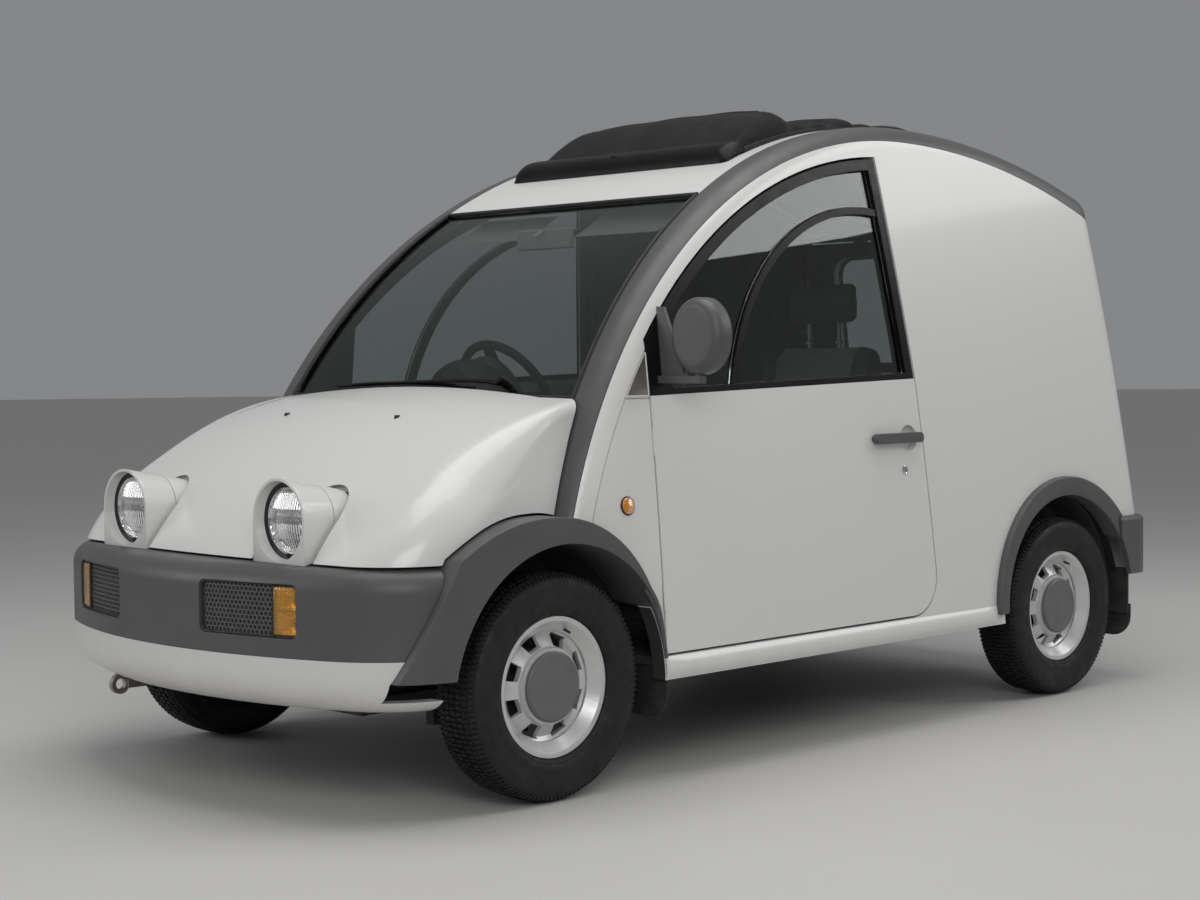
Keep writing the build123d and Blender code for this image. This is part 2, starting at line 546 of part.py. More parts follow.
# Running gear below the floor
RAIL_Y, RAIL_T, RAIL_Z = 336, 44, 215
SUB_BACK, SUB_FRONT = FRONT_AXLE - 205, FRONT_AXLE + 295
engine = block(FRONT_AXLE - 150, FRONT_AXLE + 240, SEAT_GAP - RAIL_Y, RAIL_Y - SEAT_GAP, RAIL_Z + 15, 640)
engine = engine + block(FRONT_AXLE - 125, FRONT_AXLE + 145, -250, 250, 640, 760)
save("engine_block", engine)
subframe = block(SUB_BACK - 150, SUB_FRONT, RAIL_Y, RAIL_Y + RAIL_T, RAIL_Z, RAIL_Z + 40)
subframe = subframe + block(SUB_BACK - 150, SUB_BACK - 50, RAIL_Y, RAIL_Y + RAIL_T, RAIL_Z, FLOOR_Z - FLOOR_T)
subframe = subframe + other(subframe)
for x in (SUB_BACK, SUB_FRONT - 50):
    subframe = subframe + block(x, x + 50, -RAIL_Y, RAIL_Y, RAIL_Z - 10, RAIL_Z + 10)
save("front_subframe", subframe)
KNUCKLE_FOOT = 202
ARM_TOP = KNUCKLE_FOOT - 8
arm_foot = block(FRONT_AXLE - 90, FRONT_AXLE + 90, RAIL_Y + 8, RAIL_Y + RAIL_T - 4, ARM_TOP - 34, RAIL_Z)
arm = arm_foot + block(FRONT_AXLE - 26, FRONT_AXLE + 26, RAIL_Y + 24, KINGPIN_Y + 22, ARM_TOP - 34, ARM_TOP)
arm = arm + Pos(FRONT_AXLE, KINGPIN_Y, ARM_TOP + 14) * Cylinder(9, 28)
save("lower_arms", pair(arm))
STRUT_Y = 512
strut_low, strut_top = WHEEL_Z + 110, WHEEL_Z + TUB_R - 3 * SEAT_GAP
strut = Pos(FRONT_AXLE, STRUT_Y, (strut_low + strut_top) / 2) * Cylinder(26, strut_top - strut_low)
strut = strut & across(TUB_R - SEAT_GAP, FRONT_AXLE, WHEEL_Z, 400, 700)
save("front_struts", pair(strut))
TOW_X, TOW_Y, TOW_Z, TOW_R = BUMPER_NOSE - 134, -398, 240, 15
tow = across(TOW_R + 12, TOW_X, TOW_Z, TOW_Y - 8, TOW_Y + 8)
tow = tow + block(SUB_FRONT - 20, TOW_X - 18, TOW_Y - 8, -RAIL_Y - RAIL_T, TOW_Z - 12, TOW_Z + 12)
tow = tow - across(TOW_R, TOW_X, TOW_Z, TOW_Y - 20, TOW_Y + 20)
save("tow_hook", tow)
tube = across(30, REAR_AXLE, 262, -590, 590)
drum = across(118, REAR_AXLE, WHEEL_Z, 600, 655) + across(HUB_R - SEAT_GAP, REAR_AXLE, WHEEL_Z, 563, 727)
trailing = block(REAR_AXLE, -760, 480, 530, 258, 300)
save("rear_axle", tube + drum + other(drum) + trailing + other(trailing))
tank = fillet(block(-720, -250, -330, 330, 160, FLOOR_Z - FLOOR_T).edges(), 30)
save("fuel_tank", tank)
PIPE_Y, PIPE_Z = 400, 225
front_pipe = Pos(-150, PIPE_Y, PIPE_Z) * Rot(0, 90, 0) * Cylinder(22, 1500)
muffler = Pos(REAR_AXLE - 235, PIPE_Y, PIPE_Z) * Rot(0, 90, 0) * Cylinder(62, 330)
mid_pipe = Pos(REAR_AXLE + 105, PIPE_Y, PIPE_Z - 17) * Rot(0, 90, 0) * Cylinder(20, 400)
under_floor = FLOOR_Z - FLOOR_T
hanger = block(-562, -542, PIPE_Y - 10, PIPE_Y + 10, PIPE_Z + 5, under_floor)
hanger = hanger + block(REAR_AXLE - 245, REAR_AXLE - 225, PIPE_Y - 10, PIPE_Y + 10, PIPE_Z + 45, under_floor)
save("exhaust", front_pipe + mid_pipe + muffler + hanger)
flaps = []
for x, foot in ((REAR_AXLE - TUB_R - TUB_T - 15, 150), (FRONT_AXLE - TUB_R - TUB_T - 11, 160)):
    sheet = block(x, x + 8, 606, 772, foot, SILL_Z - 2) + block(x, x + 8, 606, 728, SILL_Z - 2, under_floor)
    flaps.extend(sheet.solids())
save("mud_flaps", pair(Compound(children=flaps)))

# Wheels, drawn about the axle with the outer face towards +Y
side_w = TYRE_W / 2
tread_w = side_w - 28
bead_r = RIM_R + 1
shoulder_r = TYRE_R - 4
tyre_face = profile((bead_r, -60), (206, -72), (240, -side_w), (268, 6 - side_w), (shoulder_r, -tread_w - 8),
                    (TYRE_R, -tread_w), (TYRE_R, tread_w), (shoulder_r, tread_w + 8), (268, side_w - 6),
                    (240, side_w), (206, 72), (bead_r, 60), (bead_r, 46), (250, 62), (268, 0), (250, -62),
                    (bead_r, -46))
rim_face = profile((RIM_R, -62), (RIM_R, -56), (168, -50), (148, -34), (148, 28), (166, 46), (RIM_R, 52),
                   (RIM_R, 58), (166, 56), (140, 30), (140, 22), (128, 14), (100, 34), (96, 46), (HUB_R, 46),
                   (HUB_R, 30), (88, 30), (94, 20), (128, 2), (140, 8), (140, -36), (162, -56))
tyre = revolve(tyre_face, Axis.Y, 360)
rim_disc = revolve(rim_face, Axis.Y, 360)
vent = extrude(Plane.XZ.offset(-80) * profile((101, -19), (101, 19), (133, 27), (133, -27)), 120)
for turn in range(8):
    rim_disc = rim_disc - Rot(0, turn * 45 + 22.5, 0) * vent
cap = revolve(profile((0, 46), (89, 46), (89, 54), (84, 58), (0, 58)), Axis.Y, 360)
wheel = Compound(children=[*rim_disc.solids(), *cap.solids()])
corners = [("front_left", FRONT_AXLE, 1), ("front_right", FRONT_AXLE, -1),
           ("rear_left", REAR_AXLE, 1), ("rear_right", REAR_AXLE, -1)]
for name, x, hand in corners:
    place = Pos(x, hand * WHEEL_Y, WHEEL_Z) * Rot(0, 0, 0 if hand > 0 else 180)
    save("tyre_" + name, place * tyre)
    save("wheel_" + name, place * wheel)

# Steering knuckles with stub axle and brake
BRAKE_R = 90
knuckle = block(FRONT_AXLE - 34, FRONT_AXLE + 34, KINGPIN_Y - 20, KINGPIN_Y + 20, KNUCKLE_FOOT, WHEEL_Z + 103)
knuckle = knuckle + across(BRAKE_R, FRONT_AXLE, WHEEL_Z, KINGPIN_Y + 16, 655)
knuckle = knuckle + across(HUB_R - SEAT_GAP, FRONT_AXLE, WHEEL_Z, KINGPIN_Y + 16, WHEEL_Y + 44)
knuckle = knuckle - Pos(FRONT_AXLE, KINGPIN_Y, ARM_TOP + 14) * Cylinder(9 + SEAT_GAP, 32)
save("knuckle_left", knuckle)
save("knuckle_right", other(knuckle))
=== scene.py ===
import json
from math import cos, pi, radians, sin, sqrt, tan

import bmesh
import bpy
import numpy as np
from mathutils import Matrix, Vector


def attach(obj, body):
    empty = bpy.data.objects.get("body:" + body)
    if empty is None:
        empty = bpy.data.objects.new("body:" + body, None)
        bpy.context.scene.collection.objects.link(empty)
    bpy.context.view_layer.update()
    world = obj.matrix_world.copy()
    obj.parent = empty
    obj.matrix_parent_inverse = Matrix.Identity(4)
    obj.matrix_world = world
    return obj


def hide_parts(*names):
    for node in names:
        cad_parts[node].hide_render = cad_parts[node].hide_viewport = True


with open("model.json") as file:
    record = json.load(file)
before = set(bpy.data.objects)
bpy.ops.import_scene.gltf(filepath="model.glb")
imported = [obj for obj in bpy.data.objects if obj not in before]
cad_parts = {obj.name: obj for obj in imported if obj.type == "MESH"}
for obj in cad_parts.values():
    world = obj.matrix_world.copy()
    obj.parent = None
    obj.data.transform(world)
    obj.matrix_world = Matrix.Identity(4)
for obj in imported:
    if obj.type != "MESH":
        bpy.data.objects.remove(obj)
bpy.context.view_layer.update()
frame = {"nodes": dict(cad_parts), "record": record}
nodes = frame["nodes"]
scene = bpy.context.scene

# Dimensions shared with the solids, metres
FRONT_AXLE, REAR_AXLE, WHEEL_Y, WHEEL_Z = 1.055, -1.205, 0.683, 0.289
ARCH_X, ARCH_Z, ARCH_R, TAIL_R = -0.564, 0.149, 1.661, 2.708
BELT_Z, BELT_HALF, SIDE_SLOPE, SIDE_BOW = 1.01, 0.72, 0.1081, 0.04
REAR_X, REAR_LEAN, REAR_FOOT = -1.69, 0.1297, 0.54
BAND_X, BAND_Z, GATE_TOP = -0.509, 0.189, 1.5323
BUMPER_NOSE, PLAN_BOW = 1.74, 2.932
POD_Y, POD_Z, POD_FRONT = 0.351, 0.719, 1.608
CORNERS = (("front_left", FRONT_AXLE, 1), ("front_right", FRONT_AXLE, -1),
           ("rear_left", REAR_AXLE, 1), ("rear_right", REAR_AXLE, -1))


def half_width(z):
    return BELT_HALF - SIDE_SLOPE * (z - BELT_Z) - SIDE_BOW * (z - BELT_Z) ** 2


def arch_x(z, inset=0.0):
    """Front of the arch at a height."""
    return ARCH_X + sqrt((ARCH_R - inset) ** 2 - (z - ARCH_Z) ** 2)


def roof_z(x):
    """Top of the arch along the van."""
    r = ARCH_R if x > ARCH_X else TAIL_R
    return ARCH_Z + ARCH_R - r + sqrt(r * r - (x - ARCH_X) ** 2)


def rear_x(z):
    return REAR_X + REAR_LEAN * (z - REAR_FOOT)


def circle(steps):
    """Angles once round, as many as steps."""
    return [2 * pi * k / steps for k in range(steps)]


def nose_x(y, inset=0.0):
    """Face of the front bumper in plan."""
    return BUMPER_NOSE - inset - y * y / PLAN_BOW


# Materials

class Finish:
    """A principled material drawn on object coordinates."""

    def __init__(self, name, color, rough, metal=0.0, coat=0.0, coat_rough=0.05, sheen=0.0, clear=0.0, ior=1.5,
                 slot=None):
        self.slot = slot or name
        self.mat = bpy.data.materials.new(name)
        self.mat.use_nodes = True
        self.tree = self.mat.node_tree
        self.shader = self.tree.nodes["Principled BSDF"]
        self.place = self.tree.nodes.new("ShaderNodeTexCoord").outputs["Object"]
        self.normal = None
        values = {"Base Color": (*color, 1), "Roughness": rough, "Metallic": metal, "Coat Weight": coat,
                  "Coat Roughness": coat_rough, "Sheen Weight": sheen, "Transmission Weight": clear, "IOR": ior}
        for socket, value in values.items():
            self.shader.inputs[socket].default_value = value

    def node(self, kind, links=(), **settings):
        made = self.tree.nodes.new("ShaderNode" + kind)
        for key, value in settings.items():
            if hasattr(made, key):
                setattr(made, key, value)
            else:
                made.inputs[key.replace("_", " ")].default_value = value
        for socket, source in links:
            self.tree.links.new(source, made.inputs[socket])
        return made

    def noise(self, scale, detail=3.0, stretch=None):
        place = self.place
        if stretch:
            place = self.node("Mapping", [("Vector", place)], Scale=stretch).outputs[0]
        return self.node("TexNoise", [("Vector", place)], Scale=scale, Detail=detail).outputs[0]

    def wave(self, scale, axis, profile="SIN"):
        return self.node("TexWave", [("Vector", self.place)], Scale=scale, bands_direction=axis,
                         wave_profile=profile).outputs["Fac"]

    def cells(self, scale):
        return self.node("TexVoronoi", [("Vector", self.place)], Scale=scale).outputs["Distance"]

    def math(self, operation, a, b):
        links = [(i, v) for i, v in enumerate((a, b)) if not isinstance(v, (int, float))]
        made = self.node("Math", links, operation=operation)
        for i, v in enumerate((a, b)):
            if isinstance(v, (int, float)):
                made.inputs[i].default_value = v
        return made.outputs[0]

    def axis(self, name):
        return self.node("SeparateXYZ", [(0, self.place)]).outputs[name]

    def span(self, value, low, high, to_low=0.0, to_high=1.0):
        made = self.node("MapRange", [(0, value)])
        for i, v in enumerate((low, high, to_low, to_high)):
            made.inputs[i + 1].default_value = v
        return made.outputs[0]

    def tint(self, fac, color):
        """Lays a colour over what feeds the base colour."""
        base = self.shader.inputs["Base Color"]
        made = self.node("Mix", [(0, fac)], data_type="RGBA")
        if base.links:
            self.tree.links.new(base.links[0].from_socket, made.inputs[6])
        else:
            made.inputs[6].default_value = base.default_value
        made.inputs[7].default_value = (*color, 1)
        self.tree.links.new(made.outputs[2], base)
        return self

    def mottle(self, scale, detail, low, high, amount, color):
        """Cloudy patches of another colour."""
        return self.tint(self.span(self.noise(scale, detail), low, high, 0.0, amount), color)

    def worn(self, scale, detail, low, high, spread=0.2, stretch=None):
        """Roughness that drifts between two values."""
        drift = self.span(self.noise(scale, detail, stretch), 0.5 - spread, 0.5 + spread, low, high)
        self.tree.links.new(drift, self.shader.inputs["Roughness"])
        return self

    def grain(self, scale, detail, depth):
        return self.bump(self.noise(scale, detail), depth)

    def bump(self, height, depth):
        made = self.node("Bump", [("Height", height)], Distance=depth, Strength=1.0)
        if self.normal:
            self.tree.links.new(self.normal, made.inputs["Normal"])
        self.normal = made.outputs[0]
        self.tree.links.new(self.normal, self.shader.inputs["Normal"])
        return self

    def edges(self, radius):
        """Rounds the shading where faces meet at a hard edge."""
        self.normal = self.node("Bevel", samples=4, Radius=radius).outputs[0]
        for socket in ("Normal", "Coat Normal"):
            self.tree.links.new(self.normal, self.shader.inputs[socket])
        return self

    def dust(self, top, low, color, amount):
        """Road dust that thins out with height."""
        fade = self.span(self.axis("Z"), low, top, amount, 0.0)
        return self.tint(self.math("MULTIPLY", fade, self.span(self.noise(14, 5), 0.35, 0.7)), color)


DUST = (0.3, 0.26, 0.21)
white = Finish("white_paint", (0.7, 0.695, 0.68), 0.26, coat=0.35, coat_rough=0.09)
white.tint(white.noise(0.9, 1), (0.675, 0.67, 0.655))
white.dust(0.44, 0.22, DUST, 0.1).worn(2.4, 1, 0.285, 0.35, 0.5)

grey = Finish("grey_plastic", (0.08, 0.08, 0.082), 0.42)
grey.edges(0.004).mottle(2.2, 3, 0.35, 0.65, 0.6, (0.094, 0.094, 0.095))
grey.dust(0.5, 0.25, DUST, 0.1).worn(11, 4, 0.36, 0.5).grain(1500, 2, 0.00006)

black = Finish("black_trim", (0.005, 0.005, 0.005), 0.36, ior=1.28)
black.edges(0.003).mottle(6, 3, 0.4, 0.7, 0.5, (0.01, 0.01, 0.0105))
black.worn(30, 4, 0.3, 0.42)

seal = Finish("seal_rubber", (0.016, 0.016, 0.016), 0.55, slot="rubber")
seal.mottle(40, 3, 0.4, 0.7, 0.6, (0.026, 0.026, 0.026))
seal.worn(60, 3, 0.45, 0.65).grain(900, 2, 0.00008)

canvas = Finish("canvas", (0.006, 0.006, 0.0064), 0.66, sheen=0.03, ior=1.28)
weave = canvas.math("MULTIPLY", canvas.wave(260, "X"), canvas.wave(260, "Y"))
canvas.mottle(9, 4, 0.35, 0.7, 0.7, (0.012, 0.012, 0.0124))
canvas.worn(22, 4, 0.52, 0.7).bump(weave, 0.0003).grain(35, 4, 0.0008)

thread = Finish("canvas_thread", (0.02, 0.02, 0.021), 0.6, sheen=0.2, slot="canvas")
thread.tint(thread.wave(700, "X"), (0.034, 0.034, 0.035))

# Grey-green glass colour, darker than a real tint: painted shade for the dark reflections in the windows
glass = Finish("clear_glass", (0.52, 0.56, 0.55), 0.01, clear=1.0, ior=1.45)
glass.worn(3, 4, 0.004, 0.02)

mirror_face = Finish("mirror_face", (0.82, 0.84, 0.85), 0.03, metal=1.0, slot="reflector")
mirror_face.worn(20, 2, 0.02, 0.05)

chrome = Finish("reflector", (0.66, 0.67, 0.68), 0.08, metal=1.0)
chrome.worn(25, 3, 0.05, 0.14)

lamp = Finish("lamp_glass", (0.93, 0.94, 0.94), 0.02, clear=1.0, ior=1.45, slot="clear_glass")
lamp.bump(lamp.wave(42, "Y"), 0.0009).bump(lamp.wave(17, "Z"), 0.0004)

amber = Finish("amber_lens", (1.0, 0.62, 0.09), 0.08, coat=0.5, clear=0.8, ior=1.48)
amber.mottle(28, 2, 0.35, 0.7, 0.7, (0.98, 0.5, 0.05))
amber.bump(amber.wave(36, "Z", "TRI"), 0.0006).bump(amber.wave(30, "Y", "TRI"), 0.0004)

marker_amber = Finish("marker_amber", (0.78, 0.3, 0.012), 0.12, coat=0.6, clear=0.25, ior=1.48, slot="amber_lens")
marker_amber.mottle(60, 2, 0.35, 0.7, 0.6, (0.62, 0.2, 0.008))
marker_amber.bump(marker_amber.wave(60, "Z", "TRI"), 0.0005)

red = Finish("red_lens", (0.5, 0.012, 0.01), 0.14, coat=0.6, clear=0.25, ior=1.48)
red.tint(red.span(red.axis("Z"), 0.769, 0.771), (0.86, 0.22, 0.008))
red.tint(red.math("LESS_THAN", red.axis("Z"), 0.69), (0.78, 0.76, 0.74))
red.bump(red.wave(44, "Z", "TRI"), 0.0006).bump(red.wave(44, "Y", "TRI"), 0.0004)

cabin = Finish("dark_interior", (0.03, 0.03, 0.031), 0.62)
cabin.edges(0.004).mottle(5, 3, 0.35, 0.65, 0.6, (0.042, 0.042, 0.043))
cabin.worn(16, 3, 0.5, 0.7).bump(cabin.cells(420), 0.00025)

cloth = Finish("seat_cloth", (0.3, 0.305, 0.3), 0.9, sheen=0.3)
cloth.tint(cloth.wave(120, "DIAGONAL"), (0.23, 0.235, 0.235))
cloth.mottle(300, 2, 0.4, 0.6, 0.6, (0.38, 0.385, 0.38))
cloth.bump(cloth.math("MULTIPLY", cloth.wave(190, "X"), cloth.wave(190, "Z")), 0.0004)

vinyl = Finish("seat_vinyl", (0.032, 0.032, 0.033), 0.5, slot="seat_cloth")
vinyl.mottle(12, 3, 0.35, 0.65, 0.6, (0.045, 0.045, 0.046))
vinyl.worn(30, 3, 0.42, 0.58).bump(vinyl.cells(300), 0.0003)

under = Finish("underbody", (0.03, 0.029, 0.028), 0.8)
under.mottle(9, 5, 0.4, 0.72, 0.55, (0.085, 0.078, 0.068))
under.worn(14, 4, 0.7, 0.92).grain(160, 4, 0.0008)

chassis = Finish("chassis_metal", (0.035, 0.035, 0.036), 0.5)
chassis.mottle(24, 5, 0.5, 0.75, 0.7, (0.13, 0.09, 0.06))
chassis.worn(30, 4, 0.4, 0.7).grain(220, 3, 0.0004)

engine = Finish("engine_metal", (0.16, 0.16, 0.16), 0.55, metal=0.6)
engine.mottle(12, 5, 0.42, 0.7, 0.8, (0.05, 0.045, 0.04))
engine.worn(20, 4, 0.45, 0.75).grain(300, 3, 0.0006)

steel = Finish("exhaust_steel", (0.42, 0.4, 0.38), 0.35, metal=0.9)
steel.mottle(10, 5, 0.42, 0.68, 0.8, (0.22, 0.13, 0.07))
steel.worn(18, 4, 0.28, 0.6, stretch=(1, 12, 12))

rubber = Finish("rubber", (0.02, 0.02, 0.02), 0.75)
rubber.mottle(18, 4, 0.42, 0.7, 0.6, (0.05, 0.047, 0.043))
rubber.worn(22, 3, 0.62, 0.85).grain(380, 3, 0.0003)

tyre = Finish("tyre_rubber", (0.009, 0.009, 0.009), 0.62, ior=1.42)
tyre.mottle(16, 5, 0.45, 0.72, 0.5, (0.024, 0.0225, 0.021))
tyre.worn(40, 3, 0.5, 0.74).grain(650, 2, 0.0002)

silver = Finish("silver_wheel", (0.6, 0.605, 0.6), 0.3, metal=0.35, coat=0.4)
silver.edges(0.0025).mottle(26, 4, 0.45, 0.72, 0.25, (0.48, 0.475, 0.46))
silver.worn(30, 4, 0.285, 0.42).grain(900, 1, 0.00004)

cap_grey = Finish("cap_grey", (0.125, 0.127, 0.13), 0.42)
cap_grey.edges(0.002).mottle(20, 4, 0.4, 0.7, 0.6, (0.15, 0.15, 0.15))
cap_grey.worn(26, 3, 0.36, 0.52).grain(1200, 2, 0.00005)

bars = Finish("grille_bars", (0.095, 0.095, 0.097), 0.32, slot="grey_plastic")
bars.mottle(30, 3, 0.4, 0.7, 0.6, (0.12, 0.12, 0.12)).worn(60, 3, 0.29, 0.42)

lining = Finish("headlining", (0.42, 0.42, 0.41), 0.85, sheen=0.15, slot="dark_interior")
lining.mottle(14, 3, 0.4, 0.7, 0.5, (0.36, 0.36, 0.35)).bump(lining.cells(500), 0.0002)

plate_white = Finish("plate_white", (0.62, 0.62, 0.6), 0.4, slot="reflector")
plate_white.mottle(30, 4, 0.4, 0.7, 0.5, (0.5, 0.49, 0.46)).worn(40, 3, 0.3, 0.5)

mirror_shell = Finish("mirror_shell", (0.62, 0.62, 0.61), 0.35)
mirror_shell.mottle(25, 3, 0.4, 0.7, 0.5, (0.55, 0.55, 0.54))
mirror_shell.worn(40, 3, 0.28, 0.42)

pane = Finish("quarter_pane", (0.42, 0.4, 0.385), 0.14, metal=0.75, slot="reflector")
pane.mottle(18, 2, 0.35, 0.7, 0.7, (0.26, 0.245, 0.235)).worn(30, 2, 0.1, 0.2)

# Dark finish for faces inside the body and the returns of the wheel openings: painted shade
inner_shade = Finish("painted_inner_shade", (0.03, 0.03, 0.031), 0.8)
inner_shade.mottle(12, 4, 0.38, 0.68, 0.7, (0.045, 0.044, 0.043))
inner_shade.worn(18, 3, 0.7, 0.9).grain(420, 2, 0.0003)

bulb = Finish("bulb_glass", (0.95, 0.94, 0.9), 0.05, clear=0.7, ior=1.45, slot="clear_glass")
bulb.worn(80, 2, 0.04, 0.12)

by_slot = {finish.slot: finish for finish in (white, grey, black, canvas, glass, chrome, amber, red, cabin, cloth,
                                              under, chassis, engine, steel, rubber, tyre, silver)}
for row in frame["record"]["subparts"]:
    mesh = nodes[row["node"]].data
    mesh.materials.clear()
    mesh.materials.append(by_slot[row["material_slot"]].mat)
nodes["headlamp_lenses"].data.materials[0] = lamp.mat


def centres(mesh):
    out = np.zeros(len(mesh.polygons) * 3)
    mesh.polygons.foreach_get("center", out)
    return out.reshape(-1, 3)


def paint_part(node, finish, chosen):
    """Gives another finish to the faces of a node whose centres are chosen."""
    mesh = nodes[node].data
    mesh.materials.append(finish.mat)
    index = np.zeros(len(mesh.polygons), int)
    mesh.polygons.foreach_get("material_index", index)
    index[chosen(centres(mesh))] = len(mesh.materials) - 1
    mesh.polygons.foreach_set("material_index", index)


def facing(node, finish, chosen):
    """Gives another finish to the faces of a node that point the chosen way."""
    mesh = nodes[node].data
    out = np.zeros(len(mesh.polygons) * 3)
    mesh.polygons.foreach_get("normal", out)
    normals = out.reshape(-1, 3)
    paint_part(node, finish, lambda c: chosen(c, normals))


def inward(c, n):
    return np.sign(c[:, 1]) * n[:, 1] < -0.25


# Inner faces, the roof's underside and the returns of the wheel openings painted dark as painted shade, grey caps on
# the wheels
FRONT_OPENING, REAR_OPENING, CAP_R, CAP_FROM = 0.3632, 0.37, 0.0895, 0.0465
facing("body_sides", inner_shade, inward)
facing("arch_rails", inner_shade, inward)
for axle, reach in ((FRONT_AXLE, FRONT_OPENING), (REAR_AXLE, REAR_OPENING)):
    paint_part("body_sides", inner_shade, lambda c: np.hypot(c[:, 0] - axle, c[:, 2] - WHEEL_Z) < reach)
facing("roof_panel", inner_shade, lambda c, n: n[:, 2] < -0.2)
facing("rear_panel", inner_shade, lambda c, n: n[:, 0] > 0.3)
facing("tailgate_panel", inner_shade, lambda c, n: n[:, 0] > 0.6)

for name, x, hand in CORNERS:
    def on_cap(c, x=x, hand=hand):
        out = (c[:, 1] - hand * WHEEL_Y) * hand
        return (np.hypot(c[:, 0] - x, c[:, 2] - WHEEL_Z) < CAP_R) & (out > CAP_FROM)
    paint_part("wheel_" + name, cap_grey, on_cap)


# Mesh building

def piece(name, points, faces, finish, body, slot, sharp=35, replaces=()):
    mesh = bpy.data.meshes.new(name)
    mesh.from_pydata([tuple(p) for p in points], [], [tuple(f) for f in faces])
    mesh.validate()
    mesh.materials.append(finish.mat)
    mesh.shade_smooth()
    mesh.set_sharp_from_angle(angle=radians(sharp))
    made = bpy.data.objects.new(name, mesh)
    scene.collection.objects.link(made)
    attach(made, body)
    if replaces:
        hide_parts(*replaces)
    return made


class Build:
    """Points and faces gathered for one piece."""

    def __init__(self):
        self.points, self.faces = [], []

    def add(self, points, faces):
        start = len(self.points)
        self.points.extend([tuple(p) for p in points])
        self.faces.extend([tuple(i + start for i in f) for f in faces])
        return self

    def grid(self, rows, close_u=False, close_v=False, flip=False):
        """Quads over a table of point rows."""
        nu, nv = len(rows), len(rows[0])
        faces = []
        for i in range(nu if close_u else nu - 1):
            for j in range(nv if close_v else nv - 1):
                a, b = i * nv + j, i * nv + (j + 1) % nv
                c, d = ((i + 1) % nu) * nv + (j + 1) % nv, ((i + 1) % nu) * nv + j
                faces.append((d, c, b, a) if flip else (a, b, c, d))
        return self.add([p for row in rows for p in row], faces)

    def solid(self, rows, flip=False):
        """Closed loops of points in rows, with both ends filled."""
        start, n = len(self.points), len(rows[0])
        self.grid(rows, close_v=True, flip=flip)
        last = start + (len(rows) - 1) * n
        head, tail = range(start, start + n), range(last, last + n)
        self.faces.append(tuple(head if flip else reversed(head)))
        self.faces.append(tuple(reversed(tail) if flip else tail))
        return self

    def tube(self, path, radius, sides=10):
        """Round bar along a path; radius is one number or one for each point."""
        path = [Vector(p) for p in path]
        radii = radius if hasattr(radius, "__len__") else [radius] * len(path)
        side = None
        rows = []
        for i, p in enumerate(path):
            along = (path[min(i + 1, len(path) - 1)] - path[max(i - 1, 0)]).normalized()
            if side is None:
                side = along.orthogonal().normalized()
            side = (side - along * side.dot(along)).normalized()
            up = along.cross(side)
            rows.append([p + (side * cos(t) + up * sin(t)) * radii[i]
                         for t in circle(sides)])
        return self.solid(rows, flip=True)

    def ring(self, path, radius, sides, facing):
        """Closed round bar; facing is a direction that the path never follows."""
        path = [Vector(p) for p in path]
        rows = []
        for i, p in enumerate(path):
            along = (path[(i + 1) % len(path)] - path[i - 1]).normalized()
            side = (Vector(facing) - along * along.dot(Vector(facing))).normalized()
            up = along.cross(side)
            rows.append([p + (side * cos(t) + up * sin(t)) * radius for t in circle(sides)])
        return self.grid(rows, close_u=True, close_v=True, flip=True)

    def lathe(self, profile, origin, axis, sides=48):
        """Profile of (along, radius) turned about an axis."""
        axis = Vector(axis).normalized()
        side = axis.orthogonal().normalized()
        up = axis.cross(side)
        rows = [[Vector(origin) + axis * a + (side * cos(t) + up * sin(t)) * r
                 for t in circle(sides)] for a, r in profile]
        return self.grid(rows, close_v=True, flip=True)

    def brick(self, low, high, bevel=0.002, turn=None):
        """Box with chamfered edges, turned by a matrix if given."""
        low, high = np.minimum(low, high), np.maximum(low, high)
        mid, half = (low + high) / 2, (high - low) / 2
        b = min(bevel, *(half * 0.45))
        points, index = [], {}
        for sx in (-1, 1):
            for sy in (-1, 1):
                for sz in (-1, 1):
                    s = np.array((sx, sy, sz))
                    for k in range(3):
                        inset = half - b
                        inset[k] = half[k]
                        index[sx, sy, sz, k] = len(points)
                        points.append(mid + s * inset)
        faces = []
        for k in range(3):
            u, v = (k + 1) % 3, (k + 2) % 3
            for s in (-1, 1):
                ring = []
                for a, c in ((-1, -1), (1, -1), (1, 1), (-1, 1)):
                    key = [0, 0, 0]
                    key[k], key[u], key[v] = s, a, c
                    ring.append(index[(*key, k)])
                faces.append(ring if s > 0 else ring[::-1])
            for a in (-1, 1):
                for c in (-1, 1):
                    ends = []
                    for s in (-1, 1):
                        key = [0, 0, 0]
                        key[k], key[u], key[v] = s, a, c
                        ends.append((index[(*key, u)], index[(*key, v)]))
                    quad = [ends[0][0], ends[0][1], ends[1][1], ends[1][0]]
                    faces.append(quad if a * c < 0 else quad[::-1])
        for sx in (-1, 1):
            for sy in (-1, 1):
                for sz in (-1, 1):
                    tri = [index[sx, sy, sz, k] for k in range(3)]
                    faces.append(tri if sx * sy * sz > 0 else tri[::-1])
        if turn is not None:
            points = [turn @ Vector(p) for p in points]
        return self.add(points, faces)

    def mirrored(self):
        """The same again on the other side of the van."""
        count = len(self.points)
        self.points.extend([(p[0], -p[1], p[2]) for p in self.points[:count]])
        self.faces.extend([tuple(i + count for i in reversed(f)) for f in self.faces[:]])
        return self

    def make(self, name, finish, body="body", slot=None, **extra):
        return piece(name, self.points, self.faces, finish, body, slot or finish.slot, **extra)


